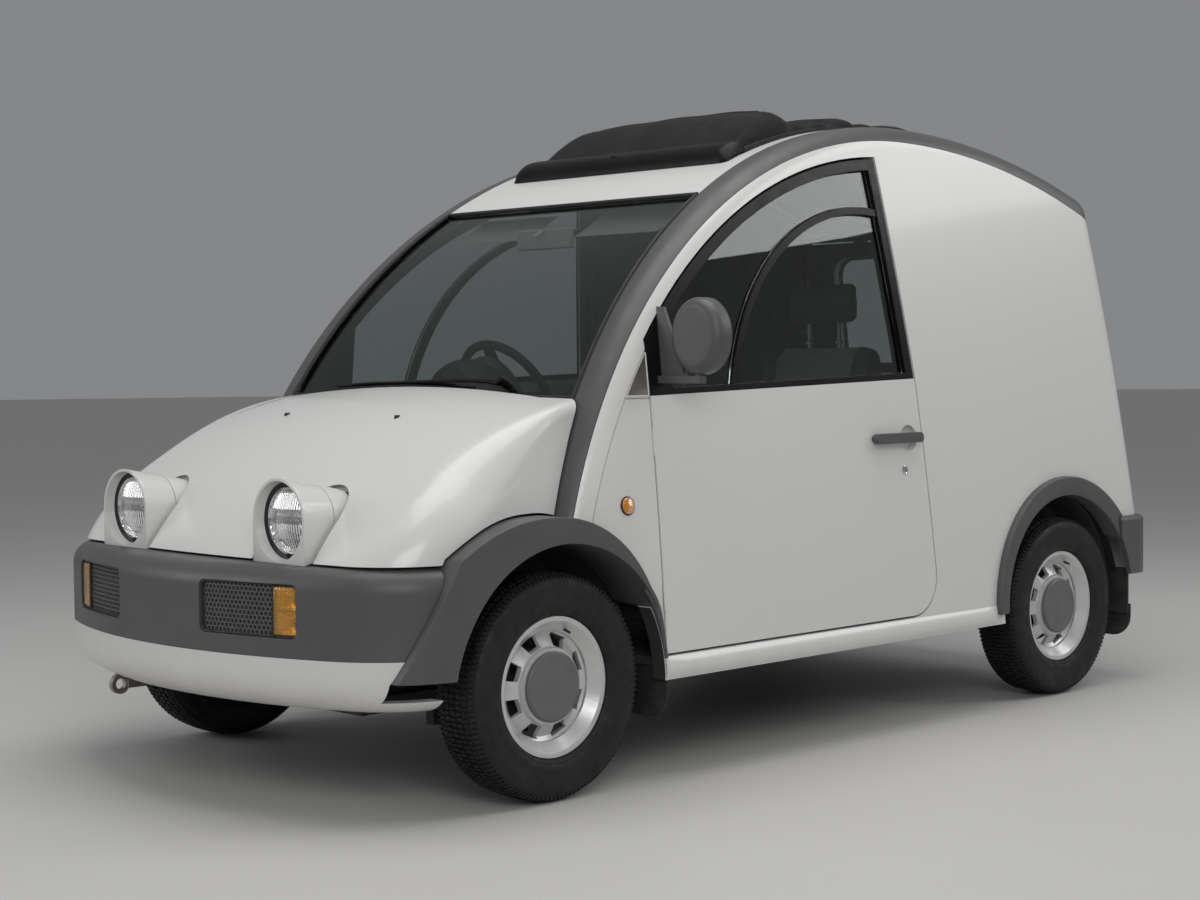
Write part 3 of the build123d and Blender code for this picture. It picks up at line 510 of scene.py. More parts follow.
class Pattern:
    """Geometry Nodes tree with named sizes that repeats a shape, grown once into a plain mesh."""

    def __init__(self, name, **sizes):
        self.tree = bpy.data.node_groups.new(name, "GeometryNodeTree")
        self.sizes = sizes
        self.tree.interface.new_socket("Spots", in_out="INPUT", socket_type="NodeSocketGeometry")
        for key, value in sizes.items():
            kind = "NodeSocketInt" if isinstance(value, int) else "NodeSocketFloat"
            self.tree.interface.new_socket(key, in_out="INPUT", socket_type=kind)
        self.tree.interface.new_socket("Mesh", in_out="OUTPUT", socket_type="NodeSocketGeometry")
        self.size = self.tree.nodes.new("NodeGroupInput").outputs

    def node(self, kind, links, output=0, **settings):
        made = self.tree.nodes.new(kind)
        for key, value in settings.items():
            setattr(made, key, value)
        for socket, value in links.items():
            if isinstance(value, bpy.types.NodeSocket):
                self.tree.links.new(value, made.inputs[socket])
            else:
                made.inputs[socket].default_value = value
        return made.outputs[output]

    def math(self, operation, a, b=0.0):
        return self.node("ShaderNodeMath", {0: a, 1: b}, operation=operation)

    def vector(self, x, y, z):
        return self.node("ShaderNodeCombineXYZ", {0: x, 1: y, 2: z})

    def index(self):
        return self.node("GeometryNodeInputIndex", {})

    def repeat(self, points, shape, rotation):
        return self.node("GeometryNodeInstanceOnPoints", {"Points": points, "Instance": shape, "Rotation": rotation})

    def join(self, parts):
        made = self.tree.nodes.new("GeometryNodeJoinGeometry")
        for part in parts:
            self.tree.links.new(part, made.inputs[0])
        return made.outputs[0]

    def realize(self, geometry):
        return self.node("GeometryNodeRealizeInstances", {0: geometry})

    def grow(self, geometry, finish, spots=(), edges=(), aims=()):
        """Runs the tree on a host of spots and gives its points and faces."""
        dressed = self.node("GeometryNodeSetMaterial", {"Geometry": self.realize(geometry), "Material": finish.mat})
        self.tree.links.new(dressed, self.tree.nodes.new("NodeGroupOutput").inputs[0])
        mesh = bpy.data.meshes.new(self.tree.name)
        mesh.from_pydata([tuple(p) for p in spots], list(edges), [])
        if len(aims):
            layer = mesh.attributes.new("aim", "FLOAT_VECTOR", "POINT")
            layer.data.foreach_set("vector", np.array(aims, float).ravel())
        host = bpy.data.objects.new(self.tree.name, mesh)
        scene.collection.objects.link(host)
        run = host.modifiers.new("pattern", "NODES")
        run.node_group = self.tree
        for item in self.tree.interface.items_tree:
            if item.in_out == "INPUT" and item.name in self.sizes:
                run[item.identifier] = self.sizes[item.name]
        bpy.context.view_layer.update()
        grown = bpy.data.meshes.new_from_object(host.evaluated_get(bpy.context.evaluated_depsgraph_get()))
        points = [v.co.copy() for v in grown.vertices]
        faces = [tuple(p.vertices) for p in grown.polygons]
        bpy.data.objects.remove(host)
        return points, faces


def fasteners(name, spots, aims, finish, radius, height, sides=6):
    """Domed or hexagon heads on spots, each along its aim."""
    made = Pattern(name, Radius=radius, Height=height, Sides=sides)
    size = made.size
    foot = made.node("GeometryNodeMeshCone", {"Vertices": size["Sides"], "Depth": size["Height"],
                                              "Radius Bottom": size["Radius"],
                                              "Radius Top": made.math("MULTIPLY", size["Radius"], 0.82)})
    aim = made.node("GeometryNodeInputNamedAttribute", {"Name": "aim"}, data_type="FLOAT_VECTOR")
    turn = made.node("FunctionNodeAlignRotationToVector", {"Vector": aim}, axis="Z")
    return made.grow(made.repeat(size["Spots"], foot, turn), finish, spots, aims=aims)


def stitches(name, path, finish, length=0.0042, pitch=0.0075, thick=0.0009):
    """Row of stitches along a path."""
    made = Pattern(name, Length=length, Pitch=pitch, Thickness=thick)
    size = made.size
    thread = made.node("GeometryNodeMeshUVSphere", {"Segments": 6, "Rings": 4, "Radius": 0.5})
    lengths = made.vector(size["Length"], size["Thickness"], size["Thickness"])
    thread = made.node("GeometryNodeTransform", {"Geometry": thread, "Scale": lengths})
    line = made.node("GeometryNodeMeshToCurve", {"Mesh": size["Spots"]})
    along = made.tree.nodes.new("GeometryNodeCurveToPoints")
    along.mode = "LENGTH"
    made.tree.links.new(line, along.inputs["Curve"])
    made.tree.links.new(size["Pitch"], along.inputs["Length"])
    turn = made.node("FunctionNodeAlignRotationToVector", {"Vector": along.outputs["Tangent"]}, axis="X")
    edges = [(i, i + 1) for i in range(len(path) - 1)]
    return made.grow(made.repeat(along.outputs["Points"], thread, turn), finish, path, edges)


# Tyres: bulged sidewalls with ribs, block tread

def tread_blocks():
    """Five rows of paired blocks and two rows of shoulder lugs."""
    made = Pattern("tread_blocks", Pitches=62, Radius=0.2812, Height=0.0074, Length=0.01, Lug_radius=0.2745,
                   Lug_length=0.0088)
    size = made.size
    parts = []

    def row(count, radius, y, shift, width, length, height, tilt=0.0):
        taper = made.node("GeometryNodeMeshCone", {"Vertices": 4, "Radius Bottom": sqrt(0.5),
                                                   "Radius Top": sqrt(0.5) * 0.86, "Depth": 1.0})
        taper = made.node("GeometryNodeTransform", {"Geometry": taper, "Rotation": (0, 0, pi / 4)})
        block = made.node("GeometryNodeTransform", {"Geometry": taper, "Scale": made.vector(length, width, height)})
        step = made.math("DIVIDE", 2 * pi, count)
        angle = made.math("MULTIPLY", made.math("ADD", made.index(), shift), step)
        place = made.vector(made.math("MULTIPLY", made.math("SINE", angle), radius), y,
                            made.math("MULTIPLY", made.math("COSINE", angle), radius))
        spots = made.node("GeometryNodePoints", {"Count": count, "Position": place})
        parts.append(made.repeat(spots, block, made.vector(tilt, angle, 0.0)))

    for y, width, shift in ((-0.0425, 0.0155, 0.5), (-0.0215, 0.0175, 0.0), (0.0, 0.0175, 0.5), (0.0215, 0.0175, 0.0),
                            (0.0425, 0.0155, 0.5)):
        radius = made.math("SUBTRACT", size["Radius"], 1.68 * y * y)
        for part in (-0.21, 0.21):
            row(size["Pitches"], radius, y, shift + part, width, size["Length"], size["Height"])
    lugs = made.math("MULTIPLY", size["Pitches"], 2.0)
    for hand in (-1, 1):
        row(lugs, size["Lug_radius"], hand * 0.0605, 0.25, 0.0165, size["Lug_length"], 0.008, -hand * 0.52)
    return made.grow(made.join(parts), tyre)


def tyre_points():
    made = Build()
    steps = 144
    side = [(0.18, 0.058), (0.184, 0.0645), (0.19, 0.0688), (0.1925, 0.0688), (0.194, 0.0705), (0.206, 0.0745),
            (0.208, 0.0742), (0.222, 0.0772), (0.238, 0.0783), (0.25, 0.078), (0.252, 0.0774), (0.254, 0.0778),
            (0.264, 0.075), (0.272, 0.0705), (0.278, 0.064), (0.2815, 0.056), (0.2822, 0.045)]
    whole = [(-0.05, 0.18), *((-y, r) for r, y in side), *((y, r) for r, y in reversed(side)), (0.05, 0.18)]
    made.lathe(whole, (0, 0, 0), (0, 1, 0), steps)
    made.add(*tread_blocks())
    return made


tread = tyre_points()
for name, x, hand in CORNERS:
    place = Matrix.Translation((x, hand * WHEEL_Y, WHEEL_Z))
    piece("tread_" + name, [place @ Vector(p) for p in tread.points], tread.faces, tyre, name + "_wheel",
          "tyre_rubber", sharp=38, replaces=("tyre_" + name,))

# Valve stems
VALVE_R, VALVE_Y, VALVE_TURN = 0.15, 0.034, 2 * pi * 0.31
VALVE_STEPS = ((0.0, 0.0, 0.0042), (0.004, 0.012, 0.0036), (0.008, 0.026, 0.0032))
for name, x, hand in CORNERS:
    stem = Build()
    ray = Vector((cos(VALVE_TURN), 0, sin(VALVE_TURN)))
    foot = Vector((x, hand * (WHEEL_Y + VALVE_Y), WHEEL_Z)) + ray * VALVE_R
    stem.tube([foot - ray * back + Vector((0, hand * out, 0)) for back, out, _ in VALVE_STEPS],
              [thick for _, _, thick in VALVE_STEPS], 10)
    stem.make("valve_" + name, seal, name + "_wheel")


# Curves

def spline(points, steps):
    """Smooth curve through points, steps to each stretch."""
    points = [np.array(p, float) for p in points]
    out = []
    for i in range(len(points) - 1):
        a, b = points[max(i - 1, 0)], points[i]
        c, d = points[i + 1], points[min(i + 2, len(points) - 1)]
        for k in range(steps):
            t = k / steps
            out.append(0.5 * (2 * b + (c - a) * t + (2 * a - 5 * b + 4 * c - d) * t ** 2
                              + (3 * b - a - 3 * c + d) * t ** 3))
    return out + [points[-1]]


def rounded_loop(low, high, radius, place, steps=6):
    """Rounded rectangle in (u, v), each point put in space by place(u, v)."""
    (u0, v0), (u1, v1) = low, high
    out = []
    for cu, cv, start in ((u1 - radius, v1 - radius, 0), (u0 + radius, v1 - radius, 1),
                          (u0 + radius, v0 + radius, 2), (u1 - radius, v0 + radius, 3)):
        for k in range(steps + 1):
            t = (start + k / steps) * pi / 2
            out.append(place(cu + radius * cos(t), cv + radius * sin(t)))
    dense = []
    for i, p in enumerate(out):
        q = out[(i + 1) % len(out)]
        p, q = np.array(p, float), np.array(q, float)
        n = max(1, int(np.linalg.norm(q - p) / 0.03))
        dense.extend([p + (q - p) * k / n for k in range(n)])
    return dense


# Folding canvas roof: taut front panel, gathered folds behind, hems on side rails

CANVAS_LINE = ((0.027, 1.727), (0.004, 1.75), (-0.034, 1.784), (-0.075, 1.814), (-0.118, 1.836), (-0.158, 1.848),
               (-0.19, 1.852), (-0.212, 1.847), (-0.24, 1.833), (-0.276, 1.8245), (-0.304, 1.817),
               (-0.326, 1.818), (-0.352, 1.8345), (-0.378, 1.8365), (-0.4, 1.8265), (-0.424, 1.828),
               (-0.458, 1.847), (-0.498, 1.8535), (-0.53, 1.847), (-0.556, 1.83), (-0.58, 1.828),
               (-0.606, 1.842), (-0.634, 1.844), (-0.66, 1.833), (-0.684, 1.832), (-0.716, 1.845),
               (-0.762, 1.85), (-0.806, 1.849), (-0.846, 1.836), (-0.884, 1.814), (-0.914, 1.796),
               (-0.926, 1.79))
CANVAS_HALF, CANVAS_LIFT, SLACK_FROM, SLACK_RUN = 0.432, 0.004, -0.17, 0.09
RIPPLES = ((0.003, 9.5, 31), (0.0016, 27, -43))
SWAY = ((0.007, 4.3, 6), (0.003, 13, 17))
across_rows = []
shoulder = 0.335
flat_ys = [shoulder * k / 12 for k in range(-12, 13)]
drop = [k / 6 * pi / 2 for k in range(1, 7)]


def ripple(x, y, waves):
    """Height of a few crossing waves, each given as height, turns across and turns along."""
    return sum(high * sin(across * y + along * x) for high, across, along in waves)


for x, top in spline(CANVAS_LINE, 5):
    slack = min(1.0, max(0.0, (SLACK_FROM - x) / SLACK_RUN))
    base = roof_z(x) + CANVAS_LIFT
    row = []
    for s, y in [(t, -1) for t in reversed(drop)] + [(0.0, v) for v in flat_ys] + [(t, 1) for t in drop]:
        if s:
            hand, out = y, CANVAS_HALF - shoulder
            pull = slack * 0.007 * sin(x * 61 + 0.9 * hand)
            y = hand * (shoulder + out * sin(s) + pull * sin(s))
            z = base + (top - base) * cos(s) ** 0.75
        else:
            z = top - 0.004 * slack * (1 + cos(pi * y / shoulder)) / 2
            z += slack * ripple(x, y, RIPPLES)
            z += (1 - slack) * 0.0012 * cos(3 * pi * y / shoulder) + 0.007 * (1 - (y / shoulder) ** 2)
        shift = slack * ripple(x, y, SWAY)
        row.append((x + shift * (1 if s == 0 else cos(s)), y, max(z, base)))
    across_rows.append(row)
roof_cloth = Build().grid(across_rows)
for a, b, c, d in roof_cloth.faces:
    p = [Vector(roof_cloth.points[i]) for i in (a, b, c, d)]
canvas_piece = roof_cloth.make("canvas_top", canvas, sharp=80, replaces=("canvas_roof",))
hem = Build()
for side in (0, -1):
    hem.tube([Vector(row[side]) + Vector((0, 0, 0.002)) for row in across_rows[::2]], 0.0042, 8)
bow = [Vector(p) + Vector((0, 0, 0.0015)) for p in across_rows[len(across_rows) * 6 // 31][6:-6]]
hem.tube(bow, 0.0035, 8)
hem_piece = hem.make("canvas_hem", seal)
sewing = Build()
for side in (4, -5):
    for step in (Vector((0, -0.003, 0.0022)), Vector((0, 0.003, 0.0026))):
        sewing.add(*stitches("hem_stitches", [Vector(row[side]) + step for row in across_rows], thread))
for k in (26, 30, 118, 122):
    seam = [Vector(p) + Vector((0, 0, 0.0012)) for p in across_rows[k][3:-3]]
    sewing.add(*stitches("bow_stitches", seam, thread))
thread_piece = sewing.make("canvas_stitches", thread)

rails = Build()
for hand in (-1, 1):
    for y, r in ((0.4465, 0.006), (0.459, 0.0045)):
        rails.tube([(x, hand * y, roof_z(x) + r * 0.6) for x in [0.02 - k * 0.03 for k in range(34)]], r, 8)
rails.make("canvas_rails", black)

# Wind deflector with turned-over ends
lip = [(0.101, 1.6705), (0.1008, 1.68), (0.0965, 1.697), (0.089, 1.711), (0.0785, 1.7225), (0.065, 1.7315),
       (0.05, 1.738), (0.034, 1.7425), (0.019, 1.745), (0.0115, 1.7432), (0.011, 1.715)]
LIP_HALF, LIP_TURN, LIP_TURN_RUN, LIP_BACK = 0.463, 0.421, 0.0422, 0.011
rows = []
for k in range(65):
    y = -LIP_HALF + 2 * LIP_HALF * k / 64
    if k in (0, 64):
        y *= 0.9999
    over = max(0.0, (abs(y) - LIP_TURN) / LIP_TURN_RUN)
    fall = sqrt(max(0.0, 1 - over ** 2.4))
    drawn_in = 0.86 + 0.14 * fall
    rows.append([(x, y, roof_z(x) + 0.0006 + (z - roof_z(x)) * fall)
                 for x, z in [(LIP_BACK + (x - LIP_BACK) * drawn_in, z) for x, z in lip]])
Build().grid(rows, flip=True).make("deflector", black, sharp=60, replaces=("wind_deflector",))
studs = Build()
for hand in (-1, 1):
    for x in (0.03, 0.055, 0.078):
        studs.lathe([(0.0018, 0.0001), (0.0016, 0.0022), (0.0006, 0.0036), (-0.003, 0.0038)],
                    (x, hand * 0.459, roof_z(x) + 0.012), (0, hand, 0.35), 12)
studs.lathe([(0.01, 0.0001), (0.01, 0.004), (0.006, 0.007), (-0.004, 0.0075)], (0.07, -0.03, 1.7285), (0.5, 0, 0.86),
            16)
studs.make("deflector_studs", seal)

# Seats: foam swelled under cloth, with sewn channels

CLOTH_STEPS, CLOTH_PRESSURE, CLOTH_TENSION, QUICK_VOXEL = 20, 4.0, 12, 0.012
SEAT_Y, SEAT_SIDES, REST_SIDES = 0.33, (0.108, 0.552), (0.213, 0.447)
CHANNEL_Y, CHANNEL_W, CHANNEL_DEEP, BOLSTER = 0.15, 0.006, 0.009, 0.01
BACK_FOOT_X, BACK_FOOT_Z, BACK_RAKE = -0.35, 0.566, 0.205


def settle(name, build, move, voxel=0.007):
    """Closed form filled by a cloth pressure run; points may move no further than move."""
    mesh = bpy.data.meshes.new(name)
    mesh.from_pydata([tuple(p) for p in build.points], [], [tuple(f) for f in build.faces])
    made = bpy.data.objects.new(name, mesh)
    scene.collection.objects.link(made)
    remesh = made.modifiers.new("remesh", "REMESH")
    remesh.mode, remesh.voxel_size = "VOXEL", voxel
    bpy.context.view_layer.update()
    body = bpy.data.meshes.new_from_object(made.evaluated_get(bpy.context.evaluated_depsgraph_get()))
    made.modifiers.clear()
    made.data = body
    count = len(body.vertices)
    start = np.zeros(count * 3)
    body.vertices.foreach_get("co", start)
    end = start.copy()
    cloth_run = made.modifiers.new("cloth", "CLOTH")
    cloth_run.settings.use_pressure = True
    cloth_run.settings.uniform_pressure_force = CLOTH_PRESSURE
    cloth_run.settings.effector_weights.gravity = 0.0
    cloth_run.settings.tension_stiffness = CLOTH_TENSION
    cloth_run.settings.quality = 4
    for f in range(1, CLOTH_STEPS + 1):
        scene.frame_set(f)
    done = bpy.data.meshes.new_from_object(made.evaluated_get(bpy.context.evaluated_depsgraph_get()))
    done.vertices.foreach_get("co", end)
    made.modifiers.clear()
    scene.frame_set(1)
    step = (end - start).reshape(-1, 3)
    size = np.linalg.norm(step, axis=1, keepdims=True)
    step *= np.minimum(1.0, move / np.maximum(size, 1e-9))
    points = start.reshape(-1, 3) + step
    faces = [tuple(p.vertices) for p in body.polygons]
    bpy.data.objects.remove(made)
    return points, faces


def pad_form(outline, y0, y1):
    """Side outline (x, z) carried across, drawn in at the flanks."""
    made = Build()
    ys = [y0, y0 + 0.012, y0 + 0.05, y0 + 0.11, (y0 + y1) / 2, y1 - 0.11, y1 - 0.05, y1 - 0.012, y1]
    mid = np.mean(np.array(outline), axis=0)
    rows = []
    for k, y in enumerate(ys):
        edge = {0: 0.9, 8: 0.9, 1: 0.965, 7: 0.965}.get(k, 1.0)
        rows.append([(mid[0] + (x - mid[0]) * edge, y, mid[1] + (z - mid[1]) * edge) for x, z in outline])
    made.grid(rows, close_v=True)
    n = len(outline)
    made.faces.append(tuple(range(n)))
    made.faces.append(tuple(len(made.points) - 1 - k for k in range(n)))
    return made


CUSHION = ((-0.425, 0.48), (-0.2, 0.478), (0.03, 0.48), (0.062, 0.5), (0.07, 0.53), (0.056, 0.562),
           (0.02, 0.574), (-0.16, 0.556), (-0.34, 0.544), (-0.42, 0.54))
BACK = ((-0.35, 0.566), (-0.352, 0.6), (-0.392, 0.8), (-0.432, 0.99), (-0.46, 1.108), (-0.476, 1.14),
        (-0.5, 1.15), (-0.522, 1.14), (-0.528, 1.11), (-0.508, 0.88), (-0.484, 0.64), (-0.474, 0.552),
        (-0.42, 0.545))
REST = ((-0.474, 1.215), (-0.466, 1.26), (-0.472, 1.31), (-0.486, 1.334), (-0.506, 1.338), (-0.524, 1.325),
        (-0.53, 1.27), (-0.526, 1.225), (-0.506, 1.212))
pads = {"cushion": settle("cushion", pad_form(CUSHION, *SEAT_SIDES), 0.016),
        "back": settle("back", pad_form(BACK, *SEAT_SIDES), 0.014),
        "rest": settle("rest", pad_form(REST, *REST_SIDES), 0.012, voxel=0.005)}


def channel(values, at):
    return np.exp(-((values - at) / CHANNEL_W) ** 2)


def seam_dip(points, kind):
    """Sewn channels pressed into the seat's face, and side panels raised beside them."""
    out = points.copy()
    if kind == "rest":
        return out
    y = np.abs(out[:, 1] - SEAT_Y)
    if kind == "cushion":
        along, up, seams = 0, 2, (-0.06, -0.19)
        face = np.clip((out[:, 2] - 0.54) / 0.02, 0, 1)
    else:
        along, up, seams = 2, 0, (0.74, 0.93)
        front = BACK_FOOT_X - (out[:, 2] - BACK_FOOT_Z) * BACK_RAKE
        face = np.clip((out[:, 0] - front + 0.03) / 0.02, 0, 1)
    groove = channel(y, CHANNEL_Y)
    for at in seams:
        groove = np.maximum(groove, channel(out[:, along], at) * (y < CHANNEL_Y))
    out[:, up] -= CHANNEL_DEEP * groove * face
    out[:, up] += BOLSTER * face * np.clip((y - 0.16) / 0.04, 0, 1)
    return out


for hand, word in ((1, "left"), (-1, "right")):
    for kind in ("cushion", "back", "rest"):
        points, faces = pads[kind]
        shaped = seam_dip(points, kind)
        shaped[:, 1] *= hand
        faces = faces if hand > 0 else [f[::-1] for f in faces]
        covers = {"cushion": ("seats",), "rest": ("headrests",)}.get(kind, ()) if hand > 0 else ()
        cover = vinyl if kind == "rest" else cloth
        made = piece("seat_" + kind + "_" + word, shaped, faces, cover, "body", "seat_cloth", sharp=70,
                     replaces=covers)
        if kind != "rest":
            made.data.materials.append(vinyl.mat)
            spots = centres(made.data)
            outer = np.abs(np.abs(spots[:, 1]) - SEAT_Y) > CHANNEL_Y + 0.002
            if kind == "back":
                outer |= spots[:, 0] < BACK_FOOT_X - 0.057 - (spots[:, 2] - BACK_FOOT_Z) * BACK_RAKE
            made.data.polygons.foreach_set("material_index", outer.astype(int))
    posts = Build()
    for y in (0.27, 0.39):
        posts.tube([(-0.502, hand * y, 1.13), (-0.502, hand * y, 1.19), (-0.5, hand * y, 1.24)], 0.0062, 12)
        posts.lathe([(0, 0.0125), (0.006, 0.0125), (0.009, 0.01), (0.009, 0.006)], (-0.502, hand * y, 1.15), (0, 0, 1),
                    16)
    posts.make("headrest_posts_" + word, chrome)
    knob = Build()
    knob.lathe([(0, 0.03), (0.01, 0.03), (0.016, 0.026), (0.018, 0.0001)], (-0.445, hand * 0.56, 0.54), (0, hand, 0),
               24)
    knob.tube([(-0.38, hand * 0.566, 0.45), (-0.05, hand * 0.566, 0.45), (0.02, hand * 0.562, 0.452)], 0.008, 10)
    knob.make("seat_levers_" + word, cabin)

# Bumper grilles: honeycomb in a rubber frame, with the flasher beside it

LEDGE_Z, RIM_ROUND = 0.615, 0.056


def band_face(y, z, inset):
    """Point on the bumper's face, set in by inset."""
    over = max(0.0, z - (LEDGE_Z - RIM_ROUND))
    back = RIM_ROUND - sqrt(RIM_ROUND ** 2 - over * over)
    return (nose_x(abs(y), inset) - back, y, z)


def honeycomb(low, high):
    """Hexagon cells between two corners (y, z), laid on the bumper's face."""
    made = Pattern("honeycomb_cells", Pitch=0.0132, Wall=0.0019, Depth=0.01, Inset=0.009, Columns=18, Rows=11,
                   Low_y=low[0], High_y=high[0], Low_z=low[1], High_z=high[1])
    size = made.size
    index = made.index()
    row = made.math("FLOOR", made.math("DIVIDE", index, size["Columns"]))
    column = made.math("MODULO", index, size["Columns"])
    shift = made.math("MULTIPLY", made.math("MODULO", row, 2.0), 0.5)
    y = made.math("ADD", made.math("ADD", column, shift), 0.5)
    z = made.math("MULTIPLY", made.math("ADD", row, 0.5), sqrt(0.75))
    place = made.vector(0.0, made.math("ADD", made.math("MULTIPLY", y, size["Pitch"]), size["Low_y"]),
                        made.math("ADD", made.math("MULTIPLY", z, size["Pitch"]), size["Low_z"]))
    spots = made.node("GeometryNodePoints", {"Count": made.math("MULTIPLY", size["Columns"], size["Rows"]),
                                             "Position": place})
    radius = made.math("SUBTRACT", made.math("DIVIDE", size["Pitch"], sqrt(3)),
                       made.math("MULTIPLY", size["Wall"], 0.5))
    cell = made.node("GeometryNodeCurvePrimitiveCircle", {"Resolution": 6, "Radius": radius})
    bar = made.node("GeometryNodeCurvePrimitiveQuadrilateral", {"Width": size["Wall"], "Height": size["Depth"]})
    ring = made.node("GeometryNodeCurveToMesh", {"Curve": cell, "Profile Curve": bar})
    cells = made.realize(made.repeat(spots, ring, (0.0, pi / 2, 0.0)))
    at = made.node("GeometryNodeInputPosition", {})
    split = made.tree.nodes.new("ShaderNodeSeparateXYZ")
    made.tree.links.new(at, split.inputs[0])
    y = made.math("MINIMUM", made.math("MAXIMUM", split.outputs[1], size["Low_y"]), size["High_y"])
    z = made.math("MINIMUM", made.math("MAXIMUM", split.outputs[2], size["Low_z"]), size["High_z"])
    over = made.math("MAXIMUM", made.math("SUBTRACT", z, LEDGE_Z - RIM_ROUND), 0.0)
    dip = made.math("SQRT", made.math("SUBTRACT", RIM_ROUND ** 2, made.math("MULTIPLY", over, over)))
    face = made.math("SUBTRACT", BUMPER_NOSE - RIM_ROUND, made.math("DIVIDE", made.math("MULTIPLY", y, y), PLAN_BOW))
    face = made.math("SUBTRACT", made.math("ADD", face, dip), size["Inset"])
    face = made.math("SUBTRACT", made.math("ADD", face, split.outputs[0]), made.math("MULTIPLY", size["Depth"], 0.5))
    laid = made.node("GeometryNodeSetPosition", {"Geometry": cells, "Position": made.vector(face, y, z)})
    return made.grow(laid, bars)


mesh_bars = Build().add(*honeycomb((0.188, 0.4515), (0.4175, 0.5725)))
mesh_bars.mirrored().make("honeycomb", bars, sharp=30, replaces=("grilles",))
# Dark plate with thin slats behind the honeycomb: painted shade of the engine bay seen through the bumper mouth
back_plate = Build()
back_plate.grid([[band_face(y, z, 0.03) for z in np.linspace(0.45, 0.574, 6)] for y in np.linspace(0.186, 0.42, 14)])
for z in np.linspace(0.456, 0.568, 15):
    back_plate.tube([band_face(y, z, 0.026) for y in np.linspace(0.19, 0.416, 10)], 0.0018, 6)
back_plate.mirrored().make("grille_back", cabin)
surround = Build()
loop = rounded_loop((0.1865, 0.4495), (0.4895, 0.5745), 0.0145, lambda y, z: band_face(y, z, 0.0045))
surround.ring(loop, 0.0038, 8, (1, 0, 0))
surround.tube([band_face(0.4195, z, 0.005) for z in np.linspace(0.4515, 0.5725, 12)], 0.003, 8)
surround.mirrored().make("grille_frames", seal)


def flasher_outline(y0, y1, z0, z1, r, n=7):
    corner = []
    for cy, cz, start in ((y1 - r, z1 - r, 0), (y1 - r, z0 + r, 3)):
        corner.append([(cy + r * cos((start + k / n) * pi / 2), cz + r * sin((start + k / n) * pi / 2))
                       for k in range(n + 1)])
    return [(y0, z0), *corner[1], *corner[0], (y0, z1)]


lens_build, bowl_build = Build(), Build()
outline = flasher_outline(0.4225, 0.4865, 0.453, 0.571, 0.012)
mid_y, mid_z = 0.455, 0.512
LENS_OUTER = ((0.965, 0.023), (1.0, 0.02), (1.0, 0.006), (0.985, 0.003), (0.95, 0.0014), (0.8, 0.0008),
              (0.5, 0.0006), (0.02, 0.0006))
LENS_INNER = ((0.02, 0.0042), (0.5, 0.0042), (0.8, 0.0044), (0.93, 0.0052), (0.965, 0.008), (0.965, 0.023))
for shell in (LENS_OUTER, LENS_INNER):
    lens_build.grid([[band_face(mid_y + (y - mid_y) * grow, mid_z + (z - mid_z) * grow, inset) for y, z in outline]
                     for grow, inset in shell], close_v=True)
half = 0.0275
for cz in (0.541, 0.482):
    rows = []
    for v in np.linspace(-1, 1, 11):
        row = []
        for u in np.linspace(-1, 1, 9):
            deep = 0.021 - 0.0105 * max(abs(u), abs(v)) ** 2
            row.append(band_face(mid_y + 0.029 * u, cz + half * v, deep))
        rows.append(row)
    bowl_build.grid(rows)
    centre = Vector(band_face(mid_y, cz, 0.019))
    bowl_build.lathe([(0, 0.006), (0.004, 0.0075), (0.009, 0.0065), (0.012, 0.0035), (0.0128, 0.0001)], centre,
                     (1, 0, 0), 14)
MARKER_AIM = (0, 1, 0.108)
marker = (0.798, half_width(0.729), 0.729)
markers = Build()
markers.lathe([(-0.004, 0.02), (0.002, 0.0222), (0.0054, 0.0212), (0.0082, 0.016), (0.0096, 0.0085), (0.01, 0.0001)],
              marker, MARKER_AIM, 32)
markers.mirrored().make("marker_lenses", marker_amber, sharp=50)
lens_build.mirrored().make("flasher_lenses", amber, sharp=50, replaces=("amber_lamps",))
bowl_build.mirrored().make("flasher_bowls", chrome)
bezel = Build()
bezel.lathe([(-0.003, 0.021), (0.003, 0.0216), (0.0038, 0.0228), (0.0032, 0.0242), (0.0008, 0.025), (-0.002, 0.025)],
            marker, MARKER_AIM, 32)
bezel.mirrored().make("marker_bezels", seal)

# Headlamps: silvered bowl, bulb, fluted glass in a bright ring, deep in the pod
rim_at = POD_FRONT - 0.032
bowls, bright_rings, glasses, gasket, bulbs, side_bulbs = Build(), Build(), Build(), Build(), Build(), Build()
spot = (rim_at, POD_Y, POD_Z)
BOWL_RADII = (0.012, 0.02, 0.03, 0.04, 0.05, 0.06, 0.07, 0.0785)
DOME_RADII = (0.0795, 0.077, 0.072, 0.064, 0.054, 0.042, 0.028, 0.014, 0.0002)
bowls.lathe([(-0.066 + 0.06 * (r / 0.0785) ** 2, r) for r in BOWL_RADII], spot, (1, 0, 0), 56)
bowls.lathe([(-0.075, 0.0135), (-0.062, 0.0125), (-0.06, 0.009), (-0.052, 0.009), (-0.05, 0.0001)], spot, (1, 0, 0),
            20)
bright_rings.lathe([(-0.012, 0.0775), (-0.004, 0.0785), (0.0035, 0.079), (0.0048, 0.0805), (0.004, 0.0825),
                    (-0.001, 0.0836),
               (-0.012, 0.0838)], spot, (1, 0, 0), 64)
gasket.lathe([(0.001, 0.083), (0.0022, 0.0845), (0.0024, 0.09), (0.0044, 0.0935), (0.006, 0.0955)], spot, (1, 0, 0),
             64)
gasket.brick((rim_at - 0.004, POD_Y - 0.0905, POD_Z - 0.003), (rim_at + 0.01, POD_Y - 0.08, POD_Z + 0.003), 0.001)
gasket.brick((rim_at - 0.004, POD_Y - 0.003, POD_Z - 0.0895), (rim_at + 0.008, POD_Y + 0.003, POD_Z - 0.08), 0.001)
bulge = [(0.0195 * (1 - (r / 0.079) ** 2), r) for r in DOME_RADII]
